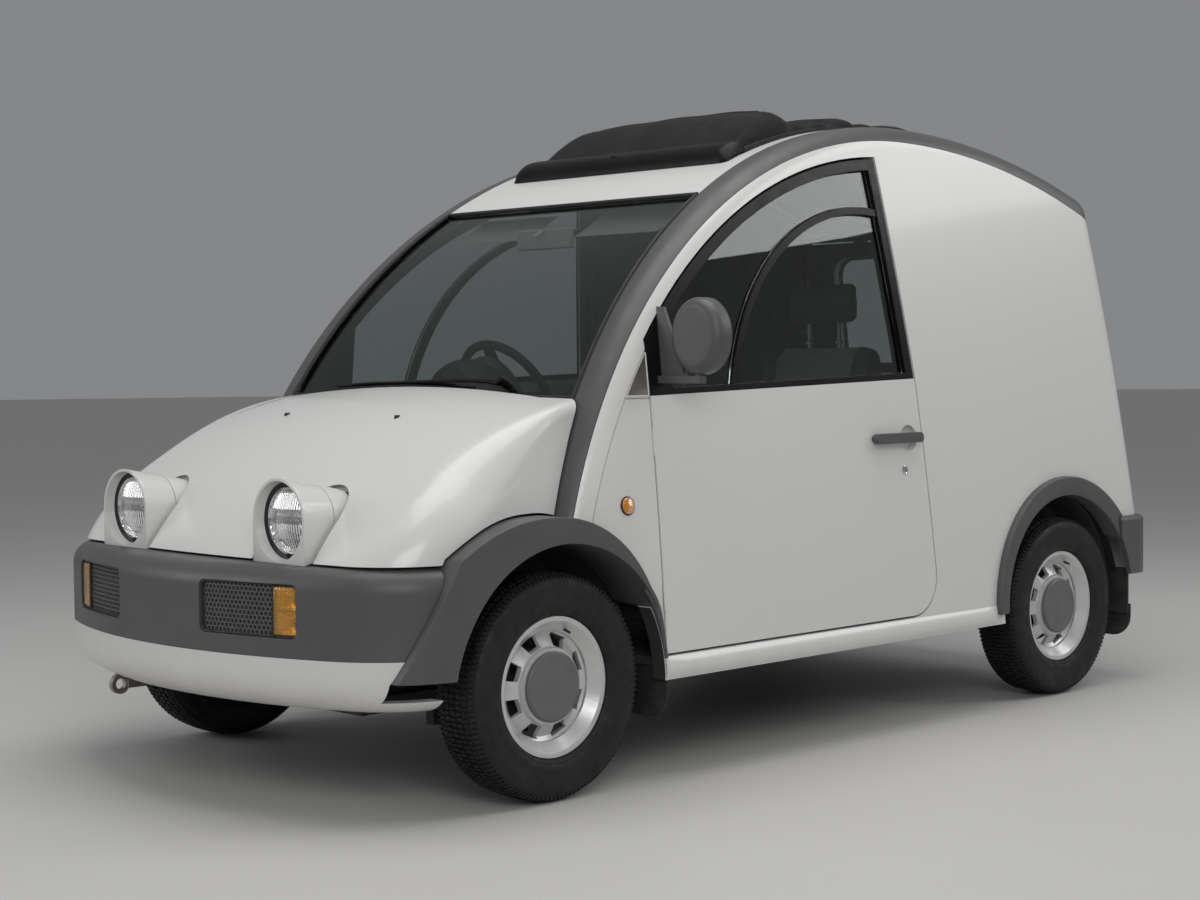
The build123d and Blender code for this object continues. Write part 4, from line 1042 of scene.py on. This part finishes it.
dome, back = [(a + 0.0005, r) for a, r in bulge], [(a - 0.004, r) for a, r in reversed(bulge)]
glasses.lathe(dome + back, spot, (1, 0, 0), 64)
bulbs.lathe([(-0.052, 0.006), (-0.04, 0.007), (-0.028, 0.0066), (-0.022, 0.0045), (-0.0205, 0.0001)], spot, (1, 0, 0),
            18)
for build in (bowls, bright_rings, glasses, gasket, bulbs):
    build.mirrored()
for hand in (-1, 1):
    side_bulbs.lathe([(-0.04, 0.008), (-0.026, 0.009), (-0.018, 0.008), (-0.012, 0.0045), (-0.0105, 0.0001)],
                     (rim_at, hand * POD_Y + 0.052, POD_Z + 0.004), (1, -0.25, 0), 16)
bowls.make("lamp_bowls", chrome, replaces=("headlamp_bowls",))
bright_rings.make("lamp_rings", chrome)
gasket.make("lamp_gaskets", seal)
glasses.make("lamp_glasses", lamp, sharp=60, replaces=("headlamp_lenses",))
bulbs.make("lamp_bulbs", bulb)
side_bulbs.make("side_bulbs", amber)

# Softened copies of nodes whose hard edges the real mouldings don't have

def softened(node, name, finish, width, segments, shape=None):
    """Copy of a node with its hard edges rounded; shape moves its points first."""
    source = nodes[node].data
    bm = bmesh.new()
    bm.from_mesh(source)
    bmesh.ops.remove_doubles(bm, verts=bm.verts, dist=2e-5)
    for v in bm.verts if shape else ():
        v.co = shape(v.co)
    flat = [e for e in bm.edges if e.is_manifold and e.calc_face_angle(0) < radians(0.4)]
    bmesh.ops.dissolve_edges(bm, edges=flat, use_verts=False)
    bm.normal_update()
    hard = [e for e in bm.edges if e.is_manifold and e.calc_face_angle(0) > radians(30)]
    bmesh.ops.bevel(bm, geom=hard, offset=width, offset_type="OFFSET", segments=segments, profile=0.5,
                    affect="EDGES", clamp_overlap=True, miter_outer="ARC")
    points = [tuple(v.co) for v in bm.verts]
    for i, v in enumerate(bm.verts):
        v.index = i
    faces = [tuple(v.index for v in f.verts) for f in bm.faces]
    bm.free()
    return piece(name, points, faces, finish, "body", finish.slot, sharp=32, replaces=(node,))


softened("front_flares", "flares_front", grey, 0.012, 4)
softened("rear_flares", "flares_rear", grey, 0.009, 4)


BORE_LOW, BORE_HIGH, POD_MOUTH = 0.08, 0.09, 0.0985


def flared_bore(p):
    """Opens the mouth of a lamp's bore, so that the pod ends in a thin rim."""
    off = Vector((0, p.y - (POD_Y if p.y > 0 else -POD_Y), p.z - POD_Z))
    if p.x > POD_FRONT - 0.004 and BORE_LOW < off.length < BORE_HIGH:
        return p + off * (POD_MOUTH / off.length - 1)
    return p


softened("headlamp_pods", "pods", white, 0.0028, 3, flared_bore)

# Bonnet shoulders: the rounded crease tightens towards the screen and carries the bonnet on to the arch
CROWN_X, CROWN_Z, CROWN_TURN, CROWN_BOW = 0.73, -0.087, 1.132, 6.0
FLANK_Y, FLANK_X, FLANK_FOOT = 0.779, 1.515, 0.598
FLANK = Vector((-0.154, 1.0, 1.0118 * tan(radians(5))))
CREASE, TIGHT, SHOULDER_BACK, SHOULDER_END, ARCH_GAP, GUTTER_STEP = 0.13, 0.034, 0.93, 1.29, 0.008, 0.029


def rolled(x, radius):
    """Centre of a ball rolled inside the bonnet's crease, with its aims at the top and the flank."""
    y, z = 0.55, 0.9
    for _ in range(30):
        y = FLANK_Y - FLANK.x * (x - FLANK_X) - FLANK.z * (z - FLANK_FOOT) - radius * FLANK.length
        reach = CROWN_TURN - CROWN_BOW + sqrt((CROWN_BOW - radius) ** 2 - y * y)
        z = CROWN_Z + sqrt(reach ** 2 - (x - CROWN_X) ** 2)
    side, out = y / (CROWN_BOW - radius), (reach - CROWN_TURN + CROWN_BOW) / (CROWN_BOW - radius)
    top = Vector((out * (x - CROWN_X) / reach, side, out * (z - CROWN_Z) / reach))
    return Vector((x, y, z)), top, FLANK.normalized()


def bonnet_top(x, y):
    reach = CROWN_TURN - CROWN_BOW + sqrt(CROWN_BOW ** 2 - y * y)
    return CROWN_Z + sqrt(reach ** 2 - (x - CROWN_X) ** 2)


def shoulder_point(x, part):
    """Point of the shoulder near x; part is 0 to 1 on the top, 1 to 2 on the crease, 2 to 3 on the flank."""
    t = min(1.0, max(0.0, (x - SHOULDER_BACK) / (SHOULDER_END - SHOULDER_BACK)))
    t = t * t * (3 - 2 * t)
    radius, proud = TIGHT + (CREASE - TIGHT) * t, 0.0008 - 0.0016 * t
    centre, top, flank = rolled(x, radius)
    wide, wide_top, wide_flank = rolled(x, CREASE)
    if part < 1:
        p = (wide + wide_top * CREASE).lerp(centre + top * radius, part)
        return Vector((p.x, p.y, bonnet_top(p.x, p.y))) + top * proud
    if part > 2:
        p = (centre + flank * radius).lerp(wide + wide_flank * CREASE, part - 2)
        return p + flank * proud
    return centre + top.slerp(flank, part - 1) * (radius + proud)


shoulder_build = Build()
parts = [*np.linspace(0, 0.9, 6), *np.linspace(1, 2, 12), *np.linspace(2.1, 3, 6)]
columns = []
for part in parts:
    back_end = 0.9
    for _ in range(12):
        p = shoulder_point(back_end, part)
        back_end += arch_x(p.z, -ARCH_GAP - GUTTER_STEP * max(0.0, 1 - part)) - p.x
    columns.append([shoulder_point(back_end + (SHOULDER_END - back_end) * t, part) for t in np.linspace(0, 1, 30)])
shoulder_build.grid(columns, flip=True)
shoulder_build.mirrored().make("bonnet_shoulders", white, "bonnet", sharp=60)

# Flare tails down to the sill, rolled sills, mud flaps with a round foot
tails = Build()
OPENING, SILL_TOP, FLAP_REAR, FLAP_FRONT = 0.369, 0.328, -1.592, 0.672
down, stout = [], []
for z in np.linspace(0.52, 0.326, 22):
    rise = min(1.0, max(0.0, (z - 0.35) / 0.15))
    rise = rise * rise * (3 - 2 * rise)
    down.append((FRONT_AXLE - sqrt(OPENING ** 2 - (z - WHEEL_Z) ** 2), half_width(z) + 0.001 + 0.016 * rise, z))
    stout.append(0.0058 + 0.0065 * rise)
tails.tube(down, stout, 14)
tails.mirrored().make("flare_tails", grey)
sills = Build()
rows = []
for x in np.linspace(0.69, -0.799, 40):
    end = min(1.0, min(0.692 - x, x + 0.801) / 0.01 + 0.2)
    rows.append([(x, half_width(z) + 0.0004 + 0.011 * end * sin(pi * k / 10) ** 0.8, z)
                 for k, z in enumerate(np.linspace(0.2705, SILL_TOP, 11))])
sills.grid(rows, flip=True)
sills.mirrored().make("sills", white, sharp=60)
flap_build = Build()
for x, foot in ((FLAP_REAR, 0.152), (FLAP_FRONT, 0.162)):
    outline = [(0.7275, 0.2985), (0.6085, 0.2985)]
    for cy, cz, r, start in ((0.6405, foot + 0.034, 0.032, 2), (0.701, foot + 0.069, 0.069, 3)):
        for k in range(11):
            t = (start + k / 10) * pi / 2
            outline.append((cy + r * cos(t), cz + r * sin(t)))
    outline.extend([(0.77, 0.262), (0.7275, 0.266)])
    mid = np.array((0.69, 0.25))
    rows = []
    for shrink, at in ((0.97, 0.0), (1.0, 0.0016), (1.0, 0.0064), (0.97, 0.008)):
        rows.append([(x + at, *(mid + (np.array(p) - mid) * shrink)) for p in outline])
    flap_build.solid(rows)
    for z in (foot + 0.03, foot + 0.052, foot + 0.074):
        flap_build.tube([(x + 0.0082, y, z) for y in np.linspace(0.65, 0.728, 5)], 0.0022, 6)
wing = [(0.7695, 0.386), (0.6945, 0.386), (0.6945, 0.236), (0.7, 0.23), (0.7635, 0.23), (0.7695, 0.236)]
rows = [[(FLAP_REAR + at, y, z) for y, z in wing] for at in (0.0152, 0.016, 0.022, 0.0228)]
flap_build.solid(rows, flip=True)
flap_build.mirrored().make("flaps", rubber, sharp=40, replaces=("mud_flaps",))

# Rubber lips that close the slot between the rear wheel tubs and the flares
LIP_R, LIP_T, LIP_INNER, SIDE_WALL = 0.3722, 0.003, 0.682, 0.0455
lips = Build()
rows = []
for t in np.linspace(0.1, pi - 0.1, 49):
    outer = half_width(WHEEL_Z + LIP_R * sin(t)) - SIDE_WALL
    rows.append([(REAR_AXLE + r * cos(t), y, WHEEL_Z + r * sin(t)) for r, y in (
        (LIP_R, LIP_INNER), (LIP_R + LIP_T, LIP_INNER), (LIP_R + LIP_T, outer), (LIP_R, outer))])
lips.solid(rows).mirrored().make("tub_lips", seal, sharp=40)

# Screen seals, wiper and washers
trim = Build()
heights = np.linspace(1.000, 1.562, 30)
for hand in (-1, 1):
    trim.tube([(arch_x(z, -0.0005), hand * (half_width(z) - 0.108), z) for z in heights], 0.0065, 8)
top_y = half_width(1.566) - 0.108
trim.tube([(arch_x(1.5665, 0.0005), y, 1.5665) for y in np.linspace(-top_y, top_y, 20)], 0.006, 8)
low_y = half_width(1.0) - 0.11
trim.tube([(arch_x(1.008, 0.002), y, 1.008) for y in np.linspace(-low_y, low_y, 20)], 0.006, 8)
trim.make("screen_seals", seal)
wiper = Build()
WIPER_FROM, WIPER_TO, WIPER_BOW = -0.4, 0.215, 0.01
BLADE = ((1.0315, 0.006, 0.0022), (1.0335, 0.009, 0.0034), (1.0355, 0.006, 0.0022))
SPINE = ((-0.33, 0.01), (-0.26, 0.018), (-0.1, 0.026), (0.06, 0.018), (0.13, 0.01))
ARM = ((-0.1, 1.046, 0.027), (0.06, 1.05, 0.031), (0.202, 1.053, 0.028), (0.284, 1.05, 0.024), (0.322, 1.046, 0.02))


def on_screen(y, z, off):
    return Vector((arch_x(z, -off), y, z))


def blade_z(y, z):
    """Height of the blade, bowed between its ends."""
    return z + WIPER_BOW * sin((y - WIPER_FROM) / (WIPER_TO - WIPER_FROM) * pi)


for z, off, thick in BLADE:
    wiper.tube([on_screen(y, blade_z(y, z), off) for y in np.linspace(WIPER_FROM, WIPER_TO, 24)], thick, 6)
wiper.tube([on_screen(y, blade_z(y, 1.036), off) for y, off in SPINE], 0.004, 8)
wiper.tube([on_screen(*p) for p in ARM], [0.0042, 0.0048, 0.0056, 0.0075, 0.009], 10)
wiper.lathe([(-0.018, 0.012), (0.016, 0.012), (0.022, 0.0095), (0.0235, 0.0001)], on_screen(0.322, 1.045, 0.004),
            (0.86, 0, 0.5), 20)
wiper.make("wiper", black)
jets = Build()
for hand in (-1, 1):
    jets.lathe([(-0.004, 0.0092), (0.002, 0.009), (0.006, 0.0068), (0.009, 0.0052), (0.0098, 0.0001)],
               (1.149, hand * 0.245, 0.953), (0.37, 0, 0.93), 18)
    jets.brick((1.14, hand * 0.245 - 0.004, 0.9575), (1.156, hand * 0.245 + 0.004, 0.9655), 0.0018)
jets.make("washer_jets", seal, "bonnet")

# Bright quarter pane ahead of each door, in a white bead
quarter, bead = Build(), Build()
PANE_FRONT_R, PANE_FOOT, PANE_TOP, PANE_BACK = 1.518, 1.0115, 1.1235, 0.6895


def pane_front(z):
    return BAND_X + sqrt(PANE_FRONT_R ** 2 - (z - BAND_Z) ** 2)


rows = []
for z in np.linspace(PANE_FOOT, PANE_TOP, 10):
    front = max(pane_front(z), PANE_BACK + 0.0006)
    rows.append([(PANE_BACK + (front - PANE_BACK) * k / 6, half_width(z) + 0.0009, z) for k in range(7)])
quarter.grid(rows)
quarter.mirrored().make("quarter_panes", pane)
foot_y, top_y = half_width(PANE_FOOT) + 0.0008, half_width(PANE_TOP) + 0.0008
bead.tube([(PANE_BACK, foot_y, PANE_FOOT - 0.001), (pane_front(PANE_FOOT), foot_y, PANE_FOOT - 0.001)], 0.0022, 8)
bead.tube([(PANE_BACK - 0.001, top_y, PANE_TOP), (PANE_BACK - 0.001, foot_y, PANE_FOOT)], 0.0022, 8)
bead.mirrored().make("quarter_beads", white)

# Doors: lock, mirror face and bracket, inner cards with pull and winder
LOCK_X, LOCK_Z, MIRROR_X, MIRROR_Y, MIRROR_Z = -0.374, 0.77, 0.6085, 0.855, 1.165
for hand, body in ((1, "door_left"), (-1, "door_right")):
    lock = Build()
    skin = hand * half_width(LOCK_Z)
    lock.lathe([(-0.002, 0.0135), (0.0022, 0.0132), (0.0032, 0.0115), (0.0026, 0.009), (0.0034, 0.008),
                (0.0034, 0.0001)],
               (LOCK_X, skin, LOCK_Z), (0, hand, 0.1), 28)
    lock.brick((LOCK_X - 0.0015, skin - 0.001, LOCK_Z - 0.005),
               (LOCK_X + 0.0015, skin + hand * 0.0038, LOCK_Z + 0.005), 0.0005)
    lock.make("lock_" + body, chrome, body)
    card = Build()
    rows = []
    for k, x in enumerate(np.linspace(-0.42, 0.6, 18)):
        row = []
        for j, z in enumerate(np.linspace(0.43, 0.985, 14)):
            edge = min(k, 17 - k, j, 13 - j)
            puff = 0.0015 if edge == 0 else 0.0075
            if 0.62 < z < 0.8 and edge > 0:
                puff += 0.003
            row.append((x, hand * (half_width(z) - 0.06 - puff), z))
        rows.append(row)
    card.grid(rows, flip=hand > 0)
    card.make("card_" + body, vinyl, body, "dark_interior", sharp=60)
    grab = Build()
    y = hand * (half_width(0.86) - 0.07)
    grab.tube(spline([(-0.16, y, 0.8), (-0.15, y - hand * 0.035, 0.806), (-0.02, y - hand * 0.048, 0.812),
                      (0.11, y - hand * 0.035, 0.806), (0.12, y, 0.8)], 6), 0.012, 12)
    hub = (0.22, hand * (half_width(0.7) - 0.07), 0.7)
    grab.lathe([(0, 0.026), (0.01, 0.024), (0.014, 0.016), (0.015, 0.0001)], hub, (0, -hand, 0), 24)
    grab.tube([(hub[0], hub[1] - hand * 0.012, hub[2]), (hub[0] + 0.06, hub[1] - hand * 0.02, hub[2] - 0.05),
               (hub[0] + 0.1, hub[1] - hand * 0.024, hub[2] - 0.085)], [0.009, 0.007, 0.007], 10)
    grab.lathe([(0, 0.008), (0.004, 0.012), (0.026, 0.011), (0.03, 0.0001)],
               (hub[0] + 0.1, hub[1] - hand * 0.024, hub[2] - 0.085), (0, -hand, 0), 16)
    grab.make("pulls_" + body, cabin, body)
looking = Build()
rows = []
for r, back in ((0.02, 0.0), (0.5, 0.0), (0.9, 0.0003), (0.985, 0.0012), (1.0, 0.003)):
    rows.append([(MIRROR_X + back, MIRROR_Y + 0.079 * r * cos(t), MIRROR_Z + 0.091 * r * sin(t))
                 for t in circle(48)])
looking.grid(rows, close_v=True)
looking.make("mirror_glass", mirror_face, "door_left")
rim = Build()
rim.ring([(MIRROR_X + 0.001, MIRROR_Y + 0.0835 * cos(t), MIRROR_Z + 0.0955 * sin(t)) for t in circle(48)],
         0.0042, 8, (1, 0, 0))
rim.make("mirror_rim", grey, "door_left")
fin = Build()
foot, head = Vector((0.63, 0.735, 1.05)), Vector((0.628, 0.708, 1.245))
rows = []
for t in np.linspace(0, 1, 9):
    p = foot + (head - foot) * t
    reach = 0.06 * (1 - t) + 0.012
    rows.append([(p.x + 0.011 * (1 - 0.5 * t), p.y - 0.012, p.z), (p.x + 0.006, p.y + reach, p.z - 0.002),
                 (p.x - 0.006, p.y + reach, p.z - 0.002), (p.x - 0.011 * (1 - 0.5 * t), p.y - 0.012, p.z)])
fin.solid(rows).make("mirror_bracket", grey, "door_left", sharp=40)

# Tailgate: window rubber, grip and lock
gate = Build()
gate.ring(rounded_loop((-0.4705, GATE_TOP - 0.4555), (0.4705, GATE_TOP - 0.0545), 0.0705,
                       lambda y, z: (rear_x(z) + 0.001, y, z)), 0.0085, 10, (1, 0, 0))
gate.make("gate_rubber", seal, "tailgate")
grip = Build()
gx = rear_x(0.86)
grip.tube(spline([(gx, -0.11, 0.86), (gx - 0.016, -0.104, 0.861), (gx - 0.024, -0.06, 0.862), (gx - 0.025, 0.0, 0.862),
                  (gx - 0.024, 0.06, 0.862), (gx - 0.016, 0.104, 0.861), (gx, 0.11, 0.86)], 5), 0.0105, 12)
grip.lathe([(-0.002, 0.015), (0.003, 0.0145), (0.0045, 0.011), (0.0045, 0.0001)], (rear_x(0.8), 0, 0.8), (-1, 0, 0.13),
           24)
grip.make("gate_grip", grey, "tailgate")

# Cab: gauge on the dome, vents, stalks, pedals, levers, sun visors
gauge = Build()
eye = Vector((0.59, 0.0, 1.03))
aim = Vector((-0.88, 0, 0.475)).normalized()
gauge.lathe([(-0.03, 0.098), (0.004, 0.096), (0.016, 0.09), (0.019, 0.082), (0.01, 0.076), (-0.004, 0.074)], eye, aim,
            56)
gauge.make("gauge_hood", cabin)
dial = Build()
dial.lathe([(-0.003, 0.076), (-0.002, 0.04), (-0.002, 0.0005)], eye, aim, 56)
side_v = aim.orthogonal().normalized()
up_v = aim.cross(side_v)
dial.make("gauge_face", seal, "body", "dark_interior")
ticks = Build()
for k in range(25):
    t = radians(-120 + k * 10) + pi / 2
    ray_v = side_v * cos(t) + up_v * sin(t)
    long = 0.012 if k % 4 == 0 else 0.007
    ticks.tube([eye + ray_v * 0.066, eye + ray_v * (0.066 - long)], 0.001, 5)
ticks.tube([eye + aim * 0.002 - side_v * 0.01, eye + aim * 0.002 + side_v * 0.052 - up_v * 0.03], 0.0014, 6)
ticks.lathe([(0.0, 0.008), (0.004, 0.0075), (0.006, 0.0001)], eye, aim, 16)
ticks.make("gauge_marks", plate_white)
vents = Build()
for y in (-0.52, -0.2, 0.2, 0.52):
    for k in range(6):
        z = 0.872 + k * 0.011
        x = 0.4745 + (0.862 - z) * -0.62 - 0.004
        vents.brick((x - 0.004, y - 0.055, z - 0.0022), (x + 0.014, y + 0.055, z + 0.0022), 0.001)
vents.brick((0.486, 0.14, 0.755), (0.5, 0.56, 0.842), 0.004)
vents.brick((0.478, 0.32, 0.826), (0.49, 0.38, 0.836), 0.002)
vents.make("dash_vents", cabin)
stalks = Build()
for hand in (-1, 1):
    base = Vector((0.315, -0.33 + hand * 0.03, 0.95))
    stalks.tube([base, base + Vector((-0.005, hand * 0.07, 0.01)), base + Vector((-0.01, hand * 0.13, 0.022))],
                [0.006, 0.005, 0.007], 10)
for y in (-0.42, -0.33, -0.24):
    stalks.tube([(0.76, y, 0.6), (0.69, y, 0.52), (0.64, y, 0.455)], 0.007, 8)
    stalks.brick((0.628, y - 0.026, 0.425), (0.642, y + 0.026, 0.482), 0.004)
stalks.tube(spline([(0.34, 0.0, 0.328), (0.33, 0.0, 0.5), (0.29, 0.0, 0.62), (0.27, 0.0, 0.7)], 5), 0.008, 10)
stalks.lathe([(-0.02, 0.01), (-0.006, 0.017), (0.012, 0.02), (0.024, 0.015), (0.028, 0.0001)], (0.268, 0, 0.712),
             (-0.2, 0, 1), 20)
stalks.lathe([(0.0, 0.058), (0.02, 0.048), (0.045, 0.026), (0.06, 0.012)], (0.34, 0, 0.323), (0, 0, 1), 24)
stalks.tube(spline([(-0.12, 0.03, 0.328), (-0.11, 0.03, 0.39), (0.02, 0.03, 0.455), (0.1, 0.03, 0.49)], 5),
            [0.011] * 10 + [0.014] * 6, 10)
stalks.make("cab_controls", cabin)
visors = Build()
for hand in (-1, 1):
    rows = []
    for k in range(9):
        z = 1.475 + 0.078 * k / 8
        rows.append([(arch_x(z, 0.045) - 0.01 * sin(pi * k / 8), hand * (0.1 + 0.34 * j / 8),
                      z - 0.012) for j in range(9)])
    visors.grid(rows)
visors.make("sun_visors", lining)

# Springs on the front struts, seams of the silencer, sump plate with its bolts
coil = Build()
COIL_R, COIL_Y, COIL_FOOT, COIL_TALL, COIL_TURN = 0.05, 0.512, 0.47, 0.14, 2 * pi * 4.5
for hand in (-1, 1):
    coil.tube([(FRONT_AXLE + COIL_R * cos(t), hand * COIL_Y + COIL_R * sin(t), COIL_FOOT + COIL_TALL * t / COIL_TURN)
               for t in np.linspace(0, COIL_TURN, 90)], 0.0055, 8)
    coil.lathe([(0, 0.028), (0.002, 0.062), (0.006, 0.063), (0.008, 0.028)], (FRONT_AXLE, hand * COIL_Y, 0.46),
               (0, 0, 1), 28)
coil.make("coil_springs", chassis)
tail_pipe = Build()
tail_pipe.lathe([(0.0, 0.06), (0.004, 0.0625), (0.012, 0.0632), (0.02, 0.062)], (-1.604, 0.4, 0.225), (1, 0, 0), 32)
tail_pipe.lathe([(0.0, 0.062), (0.008, 0.0632), (0.016, 0.0625), (0.02, 0.06)], (-1.296, 0.4, 0.225), (1, 0, 0), 32)
tail_pipe.make("muffler_seams", steel)
sump = Build()
sump.brick((0.93, -0.24, 0.222), (1.265, 0.24, 0.2315), 0.004)
bolts = [(x, y, 0.2225) for x in np.linspace(0.945, 1.25, 7) for y in (-0.225, 0.225)]
sump.add(*fasteners("sump_bolts", bolts, [(0, 0, -1)] * len(bolts), engine, 0.008, 0.006))
sump.make("sump_plate", engine)

for node in ("door_sash_left", "door_sash_right"):
    nodes[node].data.materials[0] = black.mat
for node in ("door_fittings_left", "door_fittings_right"):
    nodes[node].data.materials[0] = grey.mat
nodes["cab_mirror"].data.materials[0] = mirror_shell.mat

# Camera at the photograph's angle
EYE = Vector((4.5324, 4.476, 1.1088))
turn, lift, roll = radians(45.71), radians(2.55), radians(-0.52)
back = Vector((cos(lift) * cos(turn), cos(lift) * sin(turn), sin(lift)))
right = Vector((0, 0, 1)).cross(back).normalized()
up = back.cross(right)
right2 = right * cos(roll) + up * sin(roll)
up2 = up * cos(roll) - right * sin(roll)
camera = bpy.data.objects.new("camera", bpy.data.cameras.new("camera"))
camera.data.sensor_fit = "HORIZONTAL"
camera.data.sensor_width = 36.0
camera.data.lens = 61.575
camera.matrix_world = Matrix(((right2.x, up2.x, back.x, EYE.x), (right2.y, up2.y, back.y, EYE.y),
                              (right2.z, up2.z, back.z, EYE.z), (0, 0, 0, 1)))
scene.collection.objects.link(camera)
scene.camera = camera

# Pale floor and soft light
floor_finish = Finish("floor", (0.6, 0.59, 0.575), 0.55)
floor_finish.mottle(0.8, 4, 0.3, 0.7, 0.5, (0.56, 0.55, 0.535))
floor_build = Build()
rings = [[(r * cos(t), r * sin(t), -0.0005) for t in circle(64)] for r in (0.01, 3, 8, 20, 60)]
floor_build.grid(rings, close_v=True)
mesh = bpy.data.meshes.new("floor")
mesh.from_pydata(floor_build.points, [], floor_build.faces)
mesh.materials.append(floor_finish.mat)
floor = bpy.data.objects.new("floor", mesh)
scene.collection.objects.link(floor)

world = bpy.data.worlds.new("studio")
scene.world = world
world.use_nodes = True
world.node_tree.nodes["Background"].inputs[0].default_value = (0.74, 0.75, 0.77, 1)
world.node_tree.nodes["Background"].inputs[1].default_value = 0.32
LIGHTS = (("overhead", (0.4, 0.6, 5.2), (0.2, 0.0, 0.6), 5.0, 3.6, 140),
          ("key", (4.6, 5.4, 3.6), (0.4, 0.4, 0.7), 3.4, 2.6, 118),
          ("fill", (5.6, -3.4, 2.8), (0.8, -0.2, 0.7), 3.0, 2.4, 60),
          ("rim", (-4.6, 3.6, 3.8), (-0.6, 0.2, 1.0), 3.0, 2.2, 70))
for name, at, towards, wide, tall, power in LIGHTS:
    data = bpy.data.lights.new(name, "AREA")
    data.shape, data.size, data.size_y, data.energy = "RECTANGLE", wide, tall, power
    made = bpy.data.objects.new(name, data)
    made.location = at
    made.rotation_euler = (Vector(towards) - Vector(at)).to_track_quat("-Z", "Y").to_euler()
    scene.collection.objects.link(made)
scene.view_settings.view_transform = "Standard"
scene.view_settings.look = "None"
